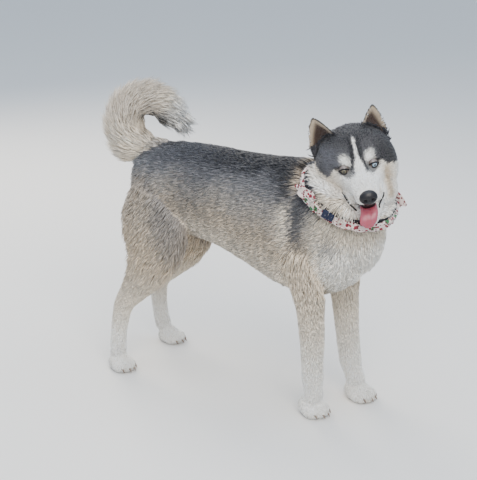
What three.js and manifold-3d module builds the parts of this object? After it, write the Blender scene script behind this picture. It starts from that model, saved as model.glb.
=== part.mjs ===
// Life-size model of a standing Siberian husky that looks round to its right, with a collar and a
// neckerchief. Millimetres. +X runs towards the chest, +Y to the dog's left, +Z up.
import * as THREE from "three";
import { mergeVertices } from "three/addons/utils/BufferGeometryUtils.js";
import Module from "manifold-3d";

const wasm = await Module();
wasm.setup();

// Driving sizes
const WITHERS = 597; // top of the coat over the shoulders
const GAP = 0.35; // air between neighbouring pieces
const SINK = 9; // how deep the root of a lock is set in its core
const COAT = { back: "#4c4f57", side: "#a89f95", cream: "#e9dfd2", grey: "#8f8d8c" };

const V = (x, y, z) => new THREE.Vector3(x, y, z);
const mix = THREE.MathUtils.lerp;

// Numbers from 0 to 1 that come out the same on every run.
function randomFrom(seed) {
  let state = seed;
  return () => {
    state = (state * 1664525 + 1013904223) % 4294967296;
    return state / 4294967296;
  };
}

// Solids

// A closed three.js geometry as a solid that can be joined and cut.
function solidOf(geometry) {
  const bare = new THREE.BufferGeometry();
  bare.setAttribute("position", geometry.getAttribute("position"));
  if (geometry.index) bare.setIndex(geometry.index);
  const merged = mergeVertices(bare, 1e-3);
  const mesh = new wasm.Mesh({
    numProp: 3,
    vertProperties: new Float32Array(merged.attributes.position.array),
    triVerts: new Uint32Array(merged.index.array),
  });
  return new wasm.Manifold(mesh);
}

// The largest body of a solid. A sliver that a cut leaves over is dropped.
function largest(solid) {
  const parts = solid.decompose();
  return parts.reduce((a, b) => (b.volume() > a.volume() ? b : a));
}

const fuse = (solids) => solids.reduce((a, b) => a.add(b));
const cut = (solid, ...others) => others.reduce((a, b) => a.subtract(b), solid);

// A named mesh from a solid.
function meshOf(name, solid, color, roughness = 0.8, metalness = 0) {
  const found = solid.getMesh();
  const geometry = new THREE.BufferGeometry();
  geometry.setAttribute("position", new THREE.BufferAttribute(new Float32Array(found.vertProperties), 3));
  geometry.setIndex(new THREE.BufferAttribute(new Uint32Array(found.triVerts), 1));
  geometry.computeVertexNormals();
  const made = new THREE.Mesh(geometry, new THREE.MeshStandardMaterial({ color, roughness, metalness }));
  made.name = name;
  return made;
}

// A block from one corner to the opposite one.
function block(low, high) {
  const size = high.clone().sub(low);
  const made = new THREE.BoxGeometry(size.x, size.y, size.z);
  const centre = low.clone().add(high).multiplyScalar(0.5);
  return solidOf(made.translate(centre.x, centre.y, centre.z));
}

// An ellipsoid in a frame of three axes.
function ellipsoid(centre, axes, radii, around = 12, along = 8) {
  const made = new THREE.SphereGeometry(1, around, along);
  made.applyMatrix4(new THREE.Matrix4().makeScale(...radii));
  made.applyMatrix4(new THREE.Matrix4().makeBasis(...axes));
  return solidOf(made.translate(centre.x, centre.y, centre.z));
}

// Bodies swept along a line of stations

// Catmull-Rom values between stations, each station a list of numbers of the same length.
function refine(stations, steps) {
  const rows = [];
  for (let i = 0; i < stations.length - 1; i++) {
    const end = stations.length - 1;
    const [a, b, c, d] = [-1, 0, 1, 2].map((k) => stations[THREE.MathUtils.clamp(i + k, 0, end)]);
    for (let s = 0; s < steps; s++) {
      const t = s / steps;
      rows.push(
        b.map((_, k) => {
          const slopeB = (c[k] - a[k]) / 2;
          const slopeC = (d[k] - b[k]) / 2;
          const t2 = t * t;
          const t3 = t2 * t;
          const bend = (t3 - 2 * t2 + t) * slopeB + (t3 - t2) * slopeC;
          return (2 * t3 - 3 * t2 + 1) * b[k] + (3 * t2 - 2 * t3) * c[k] + bend;
        }),
      );
    }
  }
  rows.push(stations[stations.length - 1]);
  return rows;
}

// Rings for stations [x, y, z, half width, front radius, back radius], in planes across the line that
// they follow. The front is the side towards the given way, or towards the given point.
function rings(stations, steps, frontWay, grow = 0, point = null) {
  const rows = refine(stations, steps);
  const centres = rows.map((r) => V(r[0], r[1], r[2]));
  const list = rows.map((r, i) => {
    const before = centres[Math.max(i - 1, 0)];
    const after = centres[Math.min(i + 1, rows.length - 1)];
    const along = after.clone().sub(before).normalize();
    const facing = point ? point.clone().sub(centres[i]) : frontWay;
    const front = facing.clone().addScaledVector(along, -facing.dot(along)).normalize();
    const side = new THREE.Vector3().crossVectors(front, along).normalize();
    const centre = centres[i].clone();
    return { centre, along, front, side, wide: r[3] + grow, ahead: r[4] + grow, behind: r[5] + grow };
  });
  return stretch(list, grow);
}

// A point of a ring: an ellipse with unlike front and back halves, squared a little by its power.
function ringPoint(ring, angle, power = 2) {
  const [c, s] = [Math.cos(angle), Math.sin(angle)];
  const round = (v) => Math.sign(v) * Math.abs(v) ** (2 / power);
  const depth = s > 0 ? ring.ahead : ring.behind;
  const placed = ring.centre.clone().addScaledVector(ring.side, ring.wide * round(c));
  return placed.addScaledVector(ring.front, depth * round(s));
}

// The same rings with both ends moved outwards, so that a grown body is larger on every side.
function stretch(list, grow) {
  const last = list[list.length - 1];
  list[0].centre.addScaledVector(list[0].along, -grow);
  last.centre.addScaledVector(last.along, grow);
  return list;
}

// A geometry from points and faces as a solid. Faces that point inwards are all turned round.
function closed(points, faces) {
  const geometry = new THREE.BufferGeometry().setFromPoints(points);
  geometry.setIndex(faces);
  const made = solidOf(geometry);
  if (made.volume() > 0) return made;
  for (let i = 0; i < faces.length; i += 3) [faces[i + 1], faces[i + 2]] = [faces[i + 2], faces[i + 1]];
  geometry.setIndex(faces);
  return solidOf(geometry);
}

// The solid through a list of rings. A low cone closes each end, as deep as the share of the ring's width.
function sweep(list, around, power = 2, domes = [0.5, 0.5]) {
  const points = [];
  const faces = [];
  const first = list[0];
  const last = list[list.length - 1];
  for (const ring of list)
    for (let k = 0; k < around; k++) points.push(ringPoint(ring, (2 * Math.PI * k) / around, power));
  points.push(first.centre.clone().addScaledVector(first.along, -domes[0] * first.wide));
  points.push(last.centre.clone().addScaledVector(last.along, domes[1] * last.wide));
  const start = points.length - 2;
  for (let k = 0; k < around; k++) {
    const next = (k + 1) % around;
    faces.push(start, k, next);
    for (let i = 0; i < list.length - 1; i++) {
      const [a, b] = [i * around + k, i * around + next];
      faces.push(a, a + around, b, b, a + around, b + around);
    }
    const rim = (list.length - 1) * around;
    faces.push(start + 1, rim + next, rim + k);
  }
  return closed(points, faces);
}

// A tapered lock of hair: a bent blade of three four-sided rings that ends in a point.
function lock(root, way, out, length, width, thick, lift, grow = 0) {
  const start = way.clone().normalize();
  const normal = out.clone().addScaledVector(start, -out.dot(start)).normalize();
  const across = new THREE.Vector3().crossVectors(start, normal).normalize();
  const list = [0, 0.35, 0.7].map((t) => {
    const centre = root
      .clone()
      .addScaledVector(start, length * t)
      .addScaledVector(normal, length * lift * t * (1.15 - 0.75 * t) - SINK * (1 - t) ** 2);
    const share = Math.sin(Math.PI * (0.3 + 0.62 * t)) / Math.sin(Math.PI * 0.5);
    const [wide, deep] = [(width / 2) * share + grow, (thick / 2) * share + grow];
    return { centre, front: normal, side: across, along: start, wide, ahead: deep, behind: deep };
  });
  const tip = root.clone().addScaledVector(start, length + grow);
  tip.addScaledVector(normal, length * lift * 0.4);
  const points = [];
  for (const ring of list) for (let k = 0; k < 4; k++) points.push(ringPoint(ring, (Math.PI * k) / 2));
  points.push(list[0].centre.clone().addScaledVector(start, -width * 0.2 - grow), tip);
  const faces = [];
  for (let k = 0; k < 4; k++) {
    const next = (k + 1) % 4;
    faces.push(12, k, next);
    for (const i of [0, 1]) {
      const [a, b] = [4 * i + k, 4 * i + next];
      faces.push(a, a + 4, b, b, a + 4, b + 4);
    }
    faces.push(13, 8 + next, 8 + k);
  }
  return closed(points, faces);
}

// Locks in rows over a swept body. Each row names its ring, the first and last angle in degrees, how many
// locks, and their length, width and lift. They lie along the body, mixed with a common drift.
function rowsOfLocks(list, rows, options) {
  const { drift = V(0, 0, 0), seed = 1, thick = 8, power = 2, reverse = false, grow = 0 } = options;
  const random = randomFrom(seed);
  const made = [];
  for (const row of rows) {
    const ring = list[Math.round(row.at * (list.length - 1))];
    for (let k = 0; k < row.count; k++) {
      const share = (k + 0.35 * (random() - 0.5)) / (row.whole ? row.count : row.count - 1);
      const angle = THREE.MathUtils.degToRad(mix(row.from, row.to, share));
      const root = ringPoint(ring, angle, power);
      const out = root.clone().sub(ring.centre).normalize();
      const way = ring.along.clone().multiplyScalar(reverse ? -1 : 1);
      way.addScaledVector(out, row.lift).add(drift);
      const size = 0.85 + 0.3 * random();
      const wide = row.width * (0.9 + 0.2 * random());
      made.push(lock(root, way, out, row.length * size, wide, thick, 0.12, grow));
    }
  }
  return made;
}

// Head frame: forward along the muzzle, left, up. Its origin lies midway between the eyes.
const EYES_AT = V(324, -62, 619);
const HEAD_TURN = { yaw: -56, pitch: -8, roll: 14 };
const rad = THREE.MathUtils.degToRad;
const FORWARD = V(
  Math.cos(rad(HEAD_TURN.pitch)) * Math.cos(rad(HEAD_TURN.yaw)),
  Math.cos(rad(HEAD_TURN.pitch)) * Math.sin(rad(HEAD_TURN.yaw)),
  Math.sin(rad(HEAD_TURN.pitch)),
);
const LEVEL_LEFT = V(-Math.sin(rad(HEAD_TURN.yaw)), Math.cos(rad(HEAD_TURN.yaw)), 0);
const LEFT = LEVEL_LEFT.clone().applyAxisAngle(FORWARD, rad(HEAD_TURN.roll));
const UP = new THREE.Vector3().crossVectors(FORWARD, LEFT);
function headWay(f, l, u) {
  return FORWARD.clone().multiplyScalar(f).addScaledVector(LEFT, l).addScaledVector(UP, u);
}
const inHead = (f, l, u) => headWay(f, l, u).add(EYES_AT);
const HEAD_AXES = [FORWARD, LEFT, UP];

// Rings of the head from rows [forward, top, bottom, half width].
function headRings(rows, steps, grow = 0) {
  const list = refine(rows, steps).map(([f, top, bottom, wide]) => ({
    centre: inHead(f, 0, (top + bottom) / 2),
    along: FORWARD,
    front: UP,
    side: LEFT,
    wide: wide + grow,
    ahead: (top - bottom) / 2 + grow,
    behind: (top - bottom) / 2 + grow,
  }));
  return stretch(list, grow);
}

// Torso, rows of [x, top of the coat, bottom of the coat, half width]
const TORSO = [
  [-292, 518, 455, 34],
  [-268, 560, 410, 70],
  [-215, WITHERS - 12, 382, 94],
  [-150, WITHERS - 4, 366, 102],
  [-70, WITHERS - 2, 356, 99],
  [0, WITHERS - 4, 338, 103],
  [70, WITHERS - 3, 311, 111],
  [140, WITHERS + 2, 286, 114],
  [200, WITHERS + 2, 281, 110],
  [250, WITHERS - 14, 290, 112],
  [296, 552, 318, 104],
  [330, 508, 362, 80],
];

function torsoRings(grow = 0) {
  const list = refine(TORSO, 2).map(([x, top, bottom, wide]) => ({
    centre: V(x, 0, (top + bottom) / 2),
    along: V(1, 0, 0),
    front: V(0, 0, 1),
    side: V(0, 1, 0),
    wide: wide + grow,
    ahead: (top - bottom) / 2 + grow,
    behind: (top - bottom) / 2 + grow,
  }));
  return stretch(list, grow);
}
const torsoCore = (grow = 0) => sweep(torsoRings(grow), 18, 2.2, [0.3, 0.3]);

// Longer hair of the torso: the bib that hangs from the chest, and a fringe below the belly
function torsoLocks(grow = 0) {
  const list = torsoRings();
  const bib = [
    { at: 0.99, from: -150, to: -30, count: 5, length: 42, width: 36, lift: 0.5 },
    { at: 0.93, from: -160, to: -20, count: 6, length: 46, width: 38, lift: 0.35 },
    { at: 0.86, from: -165, to: -15, count: 6, length: 46, width: 38, lift: 0.3 },
  ];
  const tuft = { from: -104, to: -76, count: 2, length: 40, width: 30, lift: 0.2 };
  const fringe = [0.3, 0.42, 0.54, 0.66].map((at) => ({ at, ...tuft }));
  return [
    ...rowsOfLocks(list, bib, { drift: V(-0.9, 0, -0.9), seed: 11, thick: 9, power: 2.2, grow }),
    ...rowsOfLocks(list, fringe, { seed: 12, thick: 8, power: 2.2, reverse: true, grow }),
  ];
}
const torso = (grow = 0) => fuse([torsoCore(grow), ...torsoLocks(grow)]);

// Neck, stations as in rings()
const NECK = [
  [222, 0, 468, 98, 104, 100],
  [254, -2, 514, 98, 102, 100],
  [266, 4, 550, 84, 88, 88],
  [262, -4, 586, 64, 58, 72],
  [256, -10, 606, 44, 38, 48],
];
const neckRings = (grow = 0) => rings(NECK, 3, V(1, 0, 0), grow);
const neckCore = (grow = 0) => sweep(neckRings(grow), 14, 2, [0.3, 0.3]);

// Ruff: locks that fall from the neck towards the shoulders
function ruff() {
  const rows = [
    { at: 0.5, from: 100, to: 260, count: 6, length: 44, width: 38, lift: 0.4 },
  ];
  return rowsOfLocks(neckRings(), rows, { seed: 5, thick: 9, reverse: true });
}

// Head, rows of [forward, top, bottom, half width]: skull with the upper muzzle, and the lower jaw
const SKULL = [
  [-118, 34, -64, 50],
  [-104, 56, -88, 70],
  [-80, 69, -110, 86],
  [-52, 72, -116, 91],
  [-26, 63, -106, 85],
  [-8, 36, -88, 62],
  [7, 11, -72, 48],
  [22, 1, -60, 40],
  [45, -3, -50, 31.5],
  [68, -9, -47, 27.5],
  [86, -15, -46, 23.5],
  [97, -22, -44, 16],
];
const JAW = [
  [-42, -48, -114, 58],
  [-10, -58, -112, 50],
  [20, -62, -108, 38],
  [48, -73, -106, 26],
  [70, -82, -106, 19],
  [82, -88, -104, 12],
];
const JOWL = [44, 23, 30];
function jowl(side, grow) {
  return ellipsoid(inHead(2, side * 30, -60), HEAD_AXES, JOWL.map((r) => r + grow), 10, 6);
}
function skull(grow = 0) {
  return fuse([sweep(headRings(SKULL, 2, grow), 18, 2.1, [0.3, 0.25]), jowl(-1, grow), jowl(1, grow)]);
}
const jaw = (grow = 0) => sweep(headRings(JAW, 2, grow), 12, 2.2, [0.3, 0.35]);

// Eyes
const EYE = { radius: 11, forward: 0, out: 32, up: 0 };
const eyeCentre = (side) => inHead(EYE.forward, side * EYE.out, EYE.up);
function eyeball(side, grow = 0) {
  const radius = EYE.radius + grow;
  return ellipsoid(eyeCentre(side), HEAD_AXES, [radius, radius, radius], 12, 9);
}

// A lid is an arc of a round cord over the eyeball, seen from the front as an almond.
function lid(side, upper) {
  const almond = { halfLength: 13.5, rise: upper ? 8 : -6.5, cord: 2.6 };
  const points = [];
  for (let k = 0; k <= 6; k++) {
    const t = mix(-1, 1, k / 6);
    const sideways = almond.halfLength * t;
    const rise = almond.rise * (1 - t * t) + 2.2 * t;
    const bulge = 8.5 - 7 * t * t - 2.5 * Math.abs(t);
    points.push(inHead(EYE.forward + bulge + 1.5, side * (EYE.out + sideways), EYE.up + rise));
  }
  const path = points.map((p) => [p.x, p.y, p.z, almond.cord, almond.cord, almond.cord]);
  return sweep(rings(path, 1, FORWARD), 6, 2, [0.6, 0.6]);
}

// Nose leather: a rounded pad with two nostrils cut in
const NOSE = { at: [99, 0, -30], radii: [12, 18.5, 15] };
function nosePad(grow = 0) {
  return ellipsoid(inHead(...NOSE.at), HEAD_AXES, NOSE.radii.map((r) => r + grow), 10, 7);
}
function nose() {
  const nostril = (side) => ellipsoid(inHead(109, side * 8, -31), HEAD_AXES, [6, 3.4, 3.8], 8, 5);
  const groove = ellipsoid(inHead(111, 0, -38), HEAD_AXES, [3, 1.1, 9], 6, 4);
  return cut(nosePad(), nostril(-1), nostril(1), groove, skull(GAP));
}

// Tongue, which hangs out over the jaw, rows of [forward, up, half width, half thickness] in the head frame
const TONGUE = [
  [32, -60, 14, 3.2],
  [55, -63, 17, 3.6],
  [76, -69, 18.5, 3.8],
  [90, -79, 19.5, 3.6],
  [96, -91, 18, 3.2],
  [96, -101, 11, 2.6],
];
function tongue(grow = 0) {
  const path = TONGUE.map(([f, u, wide, thick]) => {
    const p = inHead(f, 0, u);
    return [p.x, p.y, p.z, wide, thick, thick];
  });
  return sweep(rings(path, 2, headWay(0.6, 0, 0.8), grow), 10, 2.3, [0.2, 0.4]);
}

// Ears: a curled sheet that rises from a wide base to a rounded tip, open to the front
const EAR = {
  base: [-50, 55, 34],
  tip: [-55, 69, 112],
  lean: -8, // both tips stand this much over to the right
  halfWidth: 41,
  tipHalfWidth: 5,
  thick: 4.5,
  rise: 7,
  across: 8,
};
function ear(side) {
  const base = inHead(EAR.base[0], side * EAR.base[1] + EAR.lean * 0.6, EAR.base[2]);
  const tip = inHead(EAR.tip[0], side * EAR.tip[1] + EAR.lean, EAR.tip[2]);
  const spine = tip.clone().sub(base);
  const upWay = spine.clone().normalize();
  const faceWay = headWay(0.9, side * 0.42, 0.05).normalize();
  const across = new THREE.Vector3().crossVectors(upWay, faceWay).normalize().multiplyScalar(side);
  const front = new THREE.Vector3().crossVectors(across, upWay).normalize().multiplyScalar(side);
  const points = [];
  const wall = (depth) => {
    for (let i = 0; i <= EAR.rise; i++) {
      const t = i / EAR.rise;
      const belly = mix(0.93, 1, Math.sin(Math.PI * Math.min(t * 1.4, 1)));
      const wide = mix(EAR.halfWidth, EAR.tipHalfWidth, 1 - (1 - t ** 2.3) ** 0.8) * belly;
      const curl = mix(1.5, 0.75, t);
      for (let j = 0; j <= EAR.across; j++) {
        const s = mix(-1, 1, j / EAR.across);
        const angle = s * curl;
        const radius = wide / Math.sin(Math.min(curl, Math.PI / 2));
        const thin = Math.min(depth * Math.min(1, 0.35 + 3 * (1 - Math.abs(s))), 0.4 * radius);
        const p = base.clone().addScaledVector(spine, t * (1 - 0.04 * s * s) - 0.22 * (1 - t));
        p.addScaledVector(across, (radius - thin) * Math.sin(angle));
        p.addScaledVector(front, -(radius - thin) * Math.cos(angle) + radius * Math.cos(curl) - 6 * t);
        points.push(p);
      }
    }
  };
  wall(0);
  wall(EAR.thick);
  const row = EAR.across + 1;
  const sheet = row * (EAR.rise + 1);
  const faces = [];
  const quad = (a, b, c, d) => faces.push(a, b, c, a, c, d);
  for (let i = 0; i < EAR.rise; i++)
    for (let j = 0; j < EAR.across; j++) {
      const a = i * row + j;
      quad(a, a + 1, a + row + 1, a + row);
      quad(sheet + a, sheet + a + row, sheet + a + row + 1, sheet + a + 1);
    }
  for (let j = 0; j < EAR.across; j++) {
    quad(j + 1, j, sheet + j, sheet + j + 1);
    const top = EAR.rise * row + j;
    quad(top, top + 1, sheet + top + 1, sheet + top);
  }
  for (let i = 0; i < EAR.rise; i++) {
    const a = i * row;
    quad(a, a + row, sheet + a + row, sheet + a);
    const b = a + EAR.across;
    quad(b + row, b, sheet + b, sheet + b + row);
  }
  return closed(points, faces);
}

// Hair of the cheeks: locks that fan out and back from the jaw
function cheekLocks(grow = 0) {
  const around = { from: -205, to: 25 };
  const rows = [
    { at: 0.34, ...around, count: 8, length: 38, width: 36, lift: 0.3 },
    { at: 0.2, ...around, count: 8, length: 42, width: 38, lift: 0.35 },
  ];
  return rowsOfLocks(headRings(SKULL, 2), rows, {
    drift: headWay(0, 0, -0.25),
    seed: 7,
    thick: 7,
    power: 2.1,
    reverse: true,
    grow,
  });
}

// Legs: stations as in rings(), from the shoulder or hip down to the pastern
const FORE_RIGHT = [
  [206, -72, 400, 44, 56, 54],
  [213, -77, 350, 40, 50, 46],
  [223, -80, 312, 35, 42, 40],
  [231, -80, 262, 31, 35, 32],
  [237, -78, 200, 28, 30, 28],
  [240, -76, 140, 26, 26, 25],
  [241, -74, 98, 27, 27, 25],
  [242, -72, 68, 25, 25, 21],
  [245, -70, 42, 25, 23, 22],
];
const FORE_LEFT = [
  [222, 68, 400, 50, 66, 54],
  [228, 74, 350, 45, 56, 48],
  [236, 77, 308, 38, 46, 42],
  [246, 76, 258, 33, 36, 34],
  [256, 74, 198, 29, 29, 30],
  [266, 72, 140, 27, 26, 29],
  [273, 71, 98, 28, 26, 28],
  [282, 70, 68, 25, 24, 23],
  [293, 69, 42, 25, 23, 24],
];
const HIND_RIGHT = [
  [-200, -46, 500, 46, 66, 78],
  [-192, -66, 440, 48, 88, 100],
  [-190, -80, 380, 48, 88, 98],
  [-194, -88, 325, 43, 74, 80],
  [-214, -92, 270, 35, 52, 56],
  [-248, -94, 222, 28, 36, 36],
  [-278, -95, 182, 24, 27, 28],
  [-290, -97, 140, 22, 22, 24],
  [-297, -100, 90, 21, 21, 21],
  [-296, -104, 42, 22, 22, 21],
];
const HIND_LEFT = [
  [-206, 46, 500, 46, 66, 74],
  [-202, 66, 440, 48, 86, 92],
  [-202, 80, 380, 48, 84, 84],
  [-206, 88, 325, 43, 70, 68],
  [-228, 92, 270, 35, 50, 50],
  [-264, 95, 222, 29, 34, 34],
  [-297, 97, 182, 24, 25, 26],
  [-306, 100, 140, 22, 22, 23],
  [-306, 104, 90, 21, 21, 21],
  [-297, 107, 42, 22, 22, 22],
];
const PAWS = {
  foreleg_right: { at: [247, -69], heading: -14, length: 86, width: 66, height: 42 },
  foreleg_left: { at: [306, 68], heading: -8, length: 88, width: 68, height: 42 },
  hindleg_right: { at: [-282, -107], heading: -10, length: 82, width: 60, height: 38 },
  hindleg_left: { at: [-270, 109], heading: 4, length: 82, width: 60, height: 38 },
};

// A paw: four toes in an arch round a pad, on a flat sole at the floor, with a claw on each toe.
function paw({ at, heading, length, width, height }) {
  const ahead = V(Math.cos(rad(heading)), Math.sin(rad(heading)), 0);
  const across = V(-ahead.y, ahead.x, 0);
  const axes = [ahead, across, V(0, 0, 1)];
  const place = (f, l, z) => V(at[0], at[1], z).addScaledVector(ahead, f).addScaledVector(across, l);
  const pad = [length * 0.34, width * 0.46, height * 0.62];
  const pieces = [ellipsoid(place(-length * 0.14, 0, height * 0.48), axes, pad, 10, 6)];
  for (const [slot, reach, tall] of [[-1.5, 0.1, 0.82], [-0.5, 0.27, 1], [0.5, 0.27, 1], [1.5, 0.1, 0.82]]) {
    const toe = place(length * reach * 0.72, slot * width * 0.235, height * 0.36 * tall);
    pieces.push(ellipsoid(toe, axes, [length * 0.25, width * 0.155, height * 0.47 * tall], 7, 5));
    const claw = place(length * (reach * 0.72 + 0.22), slot * width * 0.25, height * 0.2);
    pieces.push(ellipsoid(claw, axes, [length * 0.085, width * 0.045, height * 0.11], 4, 3));
  }
  return fuse(pieces);
}

const BELOW_FLOOR = block(V(-600, -600, -200), V(600, 600, 0));

// The hair on the back of the thigh, in locks that hang back and down
function breeches(list, seed) {
  const around = { from: -140, to: -40 };
  const rows = [
    { at: 0.16, ...around, count: 3, length: 54, width: 40, lift: 0.2 },
    { at: 0.28, ...around, count: 4, length: 54, width: 40, lift: 0.2 },
    { at: 0.41, ...around, count: 3, length: 46, width: 34, lift: 0.2 },
  ];
  return rowsOfLocks(list, rows, { seed, thick: 9 });
}

function leg(stations, pawName, hair) {
  const list = rings(stations, 2, V(1, 0, 0));
  const pieces = [sweep(list, 12, 2, [0.2, 0.4]), paw(PAWS[pawName])];
  if (hair) pieces.push(...breeches(list, hair));
  return cut(fuse(pieces), torsoGrown, BELOW_FLOOR);
}

// Tail: a brush that rises from the croup, curls up and over and ends in a point to the left.
// Front radii lie on the inside of the curl.
const TAIL = [
  [-208, 0, 556, 36, 30, 38],
  [-255, 0, 555, 44, 36, 46],
  [-300, 0, 571, 50, 36, 56],
  [-325, 2, 606, 52, 34, 58],
  [-319, 8, 645, 50, 32, 58],
  [-288, 22, 668, 46, 34, 48],
  [-250, 38, 660, 38, 36, 38],
  [-218, 52, 632, 20, 22, 22],
];
const CURL_CENTRE = V(-262, 16, 612);
const TAIL_PART = 11; // the ring where the brush is parted in two
const BRUSH = 0.78; // share of the radius that the core fills
const tailRings = (grow = 0) => rings(TAIL, 3, null, grow, CURL_CENTRE);

// The rings of the lower length of the brush, or of the upper one, which begins a gap further on.
function tailPart(upper, grow) {
  const list = tailRings(grow);
  const part = upper ? list.slice(TAIL_PART) : list.slice(0, TAIL_PART + 1);
  if (upper) part[0].centre.addScaledVector(part[0].along, GAP - grow);
  return part.map((r) => ({ ...r, wide: r.wide * BRUSH, ahead: r.ahead * BRUSH, behind: r.behind * BRUSH }));
}

// A length of the tail: its core with rows of locks that stand out along it
function tail(upper, grow = 0) {
  const shares = upper ? [0.02, 0.22, 0.48, 0.74, 0.95] : [0.3, 0.56, 0.82];
  const rows = shares.map((at, i) => ({
    at,
    from: 18 * i,
    to: 360 + 18 * i,
    whole: true,
    count: upper && i > 2 ? 5 : 6,
    length: upper && i > 2 ? 34 : 48,
    width: upper && i > 2 ? 32 : 44,
    lift: upper ? 0.5 : 0.38,
  }));
  const hair = rowsOfLocks(tailPart(upper, 0), rows, { seed: upper ? 22 : 21, thick: 11, grow });
  return fuse([sweep(tailPart(upper, grow), 10, 2, upper ? [0, 0.9] : [0.3, 0]), ...hair]);
}

// Collar, a flat strap round the neck, and a cloth folded to a band that is tied over it
const STRAP = { at: V(292, -28, 544), normal: V(0.4, -0.16, 0.9), wide: 106, ahead: 104, behind: 104 };
const COLLAR = { width: 20, thick: 3.2 };
const CLOTH = { width: 26, thick: 4.5, drop: 4 };

// A band round the neck: the wall between two elliptic tubes in the plane of the strap.
function band(width, inner, outer, shift = 0, around = 22) {
  const along = STRAP.normal.clone().normalize();
  const front = V(1, 0, 0).addScaledVector(along, -along.x).normalize();
  const side = new THREE.Vector3().crossVectors(front, along).normalize();
  const tube = (extra, half) =>
    [-half, half].map((z) => ({
      centre: STRAP.at.clone().addScaledVector(along, z + shift),
      along,
      front,
      side,
      wide: STRAP.wide + extra,
      ahead: STRAP.ahead + extra,
      behind: STRAP.behind + extra,
    }));
  const hole = sweep(tube(inner, width / 2 + 5), around, 2, [0, 0]);
  return cut(sweep(tube(outer, width / 2), around, 2, [0, 0]), hole);
}
const collar = (grow = 0) => band(COLLAR.width + 2 * grow, -grow, COLLAR.thick + grow);

// The point of the band's circle at an angle from the front, moved out from it.
function onStrap(degrees, out) {
  const along = STRAP.normal.clone().normalize();
  const front = V(1, 0, 0).addScaledVector(along, -along.x).normalize();
  const side = new THREE.Vector3().crossVectors(front, along).normalize();
  const way = front.multiplyScalar(Math.cos(rad(degrees))).addScaledVector(side, Math.sin(rad(degrees)));
  return { place: STRAP.at.clone().addScaledVector(way, (STRAP.wide + STRAP.ahead) / 2 + out), way, along };
}

// The tied ends of the cloth: flat tapering corners that stand off the band.
function corner(degrees, spread, length, grow = 0) {
  const { place, way, along } = onStrap(degrees, CLOTH.thick + 1);
  const run = new THREE.Vector3().crossVectors(along, way).normalize().multiplyScalar(spread);
  const path = [
    [-10, 13, 2.2],
    [4, 15, 2.4],
    [length * 0.5, 11, 2.2],
    [length, 3, 1.6],
  ].map(([t, wide, thick]) => {
    const p = place.clone().addScaledVector(run, t).addScaledVector(way, 0.35 * Math.max(t, 0));
    return [p.x, p.y, p.z, wide, thick, thick];
  });
  return sweep(rings(path, 2, way, grow), 10, 2.4, [0.2, 0.2]);
}
function cloth(grow = 0) {
  const inner = COLLAR.thick + 0.8;
  const tied = band(CLOTH.width + 2 * grow, inner - grow, inner + CLOTH.thick + grow, -CLOTH.drop);
  return fuse([tied, corner(118, -1, 44, grow), corner(-48, -1, 40, grow)]);
}
const SHOW_FROM = 93; // the cloth gapes here and shows the collar's buckle

// The buckle: two halves of a side-release clasp on the collar
function buckle(grow = 0) {
  const { place, way, along } = onStrap(SHOW_FROM, COLLAR.thick + CLOTH.thick + 1.6);
  const run = new THREE.Vector3().crossVectors(along, way).normalize();
  const axes = [run, along, way];
  const body = (f, u, size) => {
    const made = new THREE.BoxGeometry(...size.map((v) => v + 2 * grow), 1, 1, 1);
    made.applyMatrix4(new THREE.Matrix4().makeBasis(...axes));
    const p = place.clone().addScaledVector(run, f).addScaledVector(along, u).addScaledVector(way, 3.6);
    return solidOf(made.translate(p.x, p.y, p.z));
  };
  const bars = [10, -10].map((u) => body(0, u, [14, 4, 7.5]));
  return fuse([body(-9, 0, [20, 26, 7]), body(10, 0, [19, 22, 6]), ...bars]);
}

// The parts, each cut clear of those that it grows from
const root = new THREE.Group();
const add = (name, solid, ...look) => root.add(meshOf(name, largest(solid), ...look));

const eyeballs = [-1, 1].map((side) => eyeball(side, GAP));
const lids = [-1, 1].flatMap((side) => [lid(side, true), lid(side, false)]);
const headGrown = fuse([skull(GAP), jaw(GAP), ...cheekLocks(GAP)]);
const worn = fuse([collar(GAP), cloth(GAP)]);
const torsoGrown = torso(GAP);

add("torso", cut(torso(), headGrown, worn), COAT.grey);
const face = fuse([skull(), jaw(), ...lids, ...cheekLocks()]);
const throat = fuse([neckCore(), ...ruff()]);
add("head", cut(face, ...eyeballs, tongue(GAP), worn), COAT.cream);
add("neck", cut(throat, torsoGrown, headGrown, worn, tongue(GAP), ...eyeballs), COAT.side);
for (const [name, side] of [["right", -1], ["left", 1]]) {
  add("ear_" + name, cut(ear(side), headGrown, neckCore(GAP)), COAT.back);
  add("eye_" + name, eyeball(side), "#9fc4d8", 0.1);
}
add("nose", nose(), "#1d1c1f", 0.35);
add("tongue", cut(tongue(), skull(GAP), jaw(GAP)), "#c97a86", 0.4);
add("foreleg_right", leg(FORE_RIGHT, "foreleg_right"), COAT.cream);
add("foreleg_left", leg(FORE_LEFT, "foreleg_left"), COAT.cream);
add("hindleg_right", leg(HIND_RIGHT, "hindleg_right", 31), COAT.cream);
add("hindleg_left", leg(HIND_LEFT, "hindleg_left", 32), COAT.cream);
add("tail_base", cut(tail(false), torsoGrown, tail(true, 1.3 * GAP)), COAT.grey);
add("tail_tip", cut(tail(true), torsoGrown), COAT.grey);
add("collar", cut(collar(), buckle(GAP)), "#2b2b33", 0.7);
add("bandana", cut(cloth(), collar(GAP), buckle(GAP)), "#f1ece8", 0.9);
add("collar_buckle", buckle(), "#23305a", 0.4);

// The origin is put under the middle of the whole model's box, on the floor.
const box = new THREE.Box3().setFromObject(root);
root.position.set(-(box.min.x + box.max.x) / 2, -(box.min.y + box.max.y) / 2, -box.min.z);

export default root;
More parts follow.
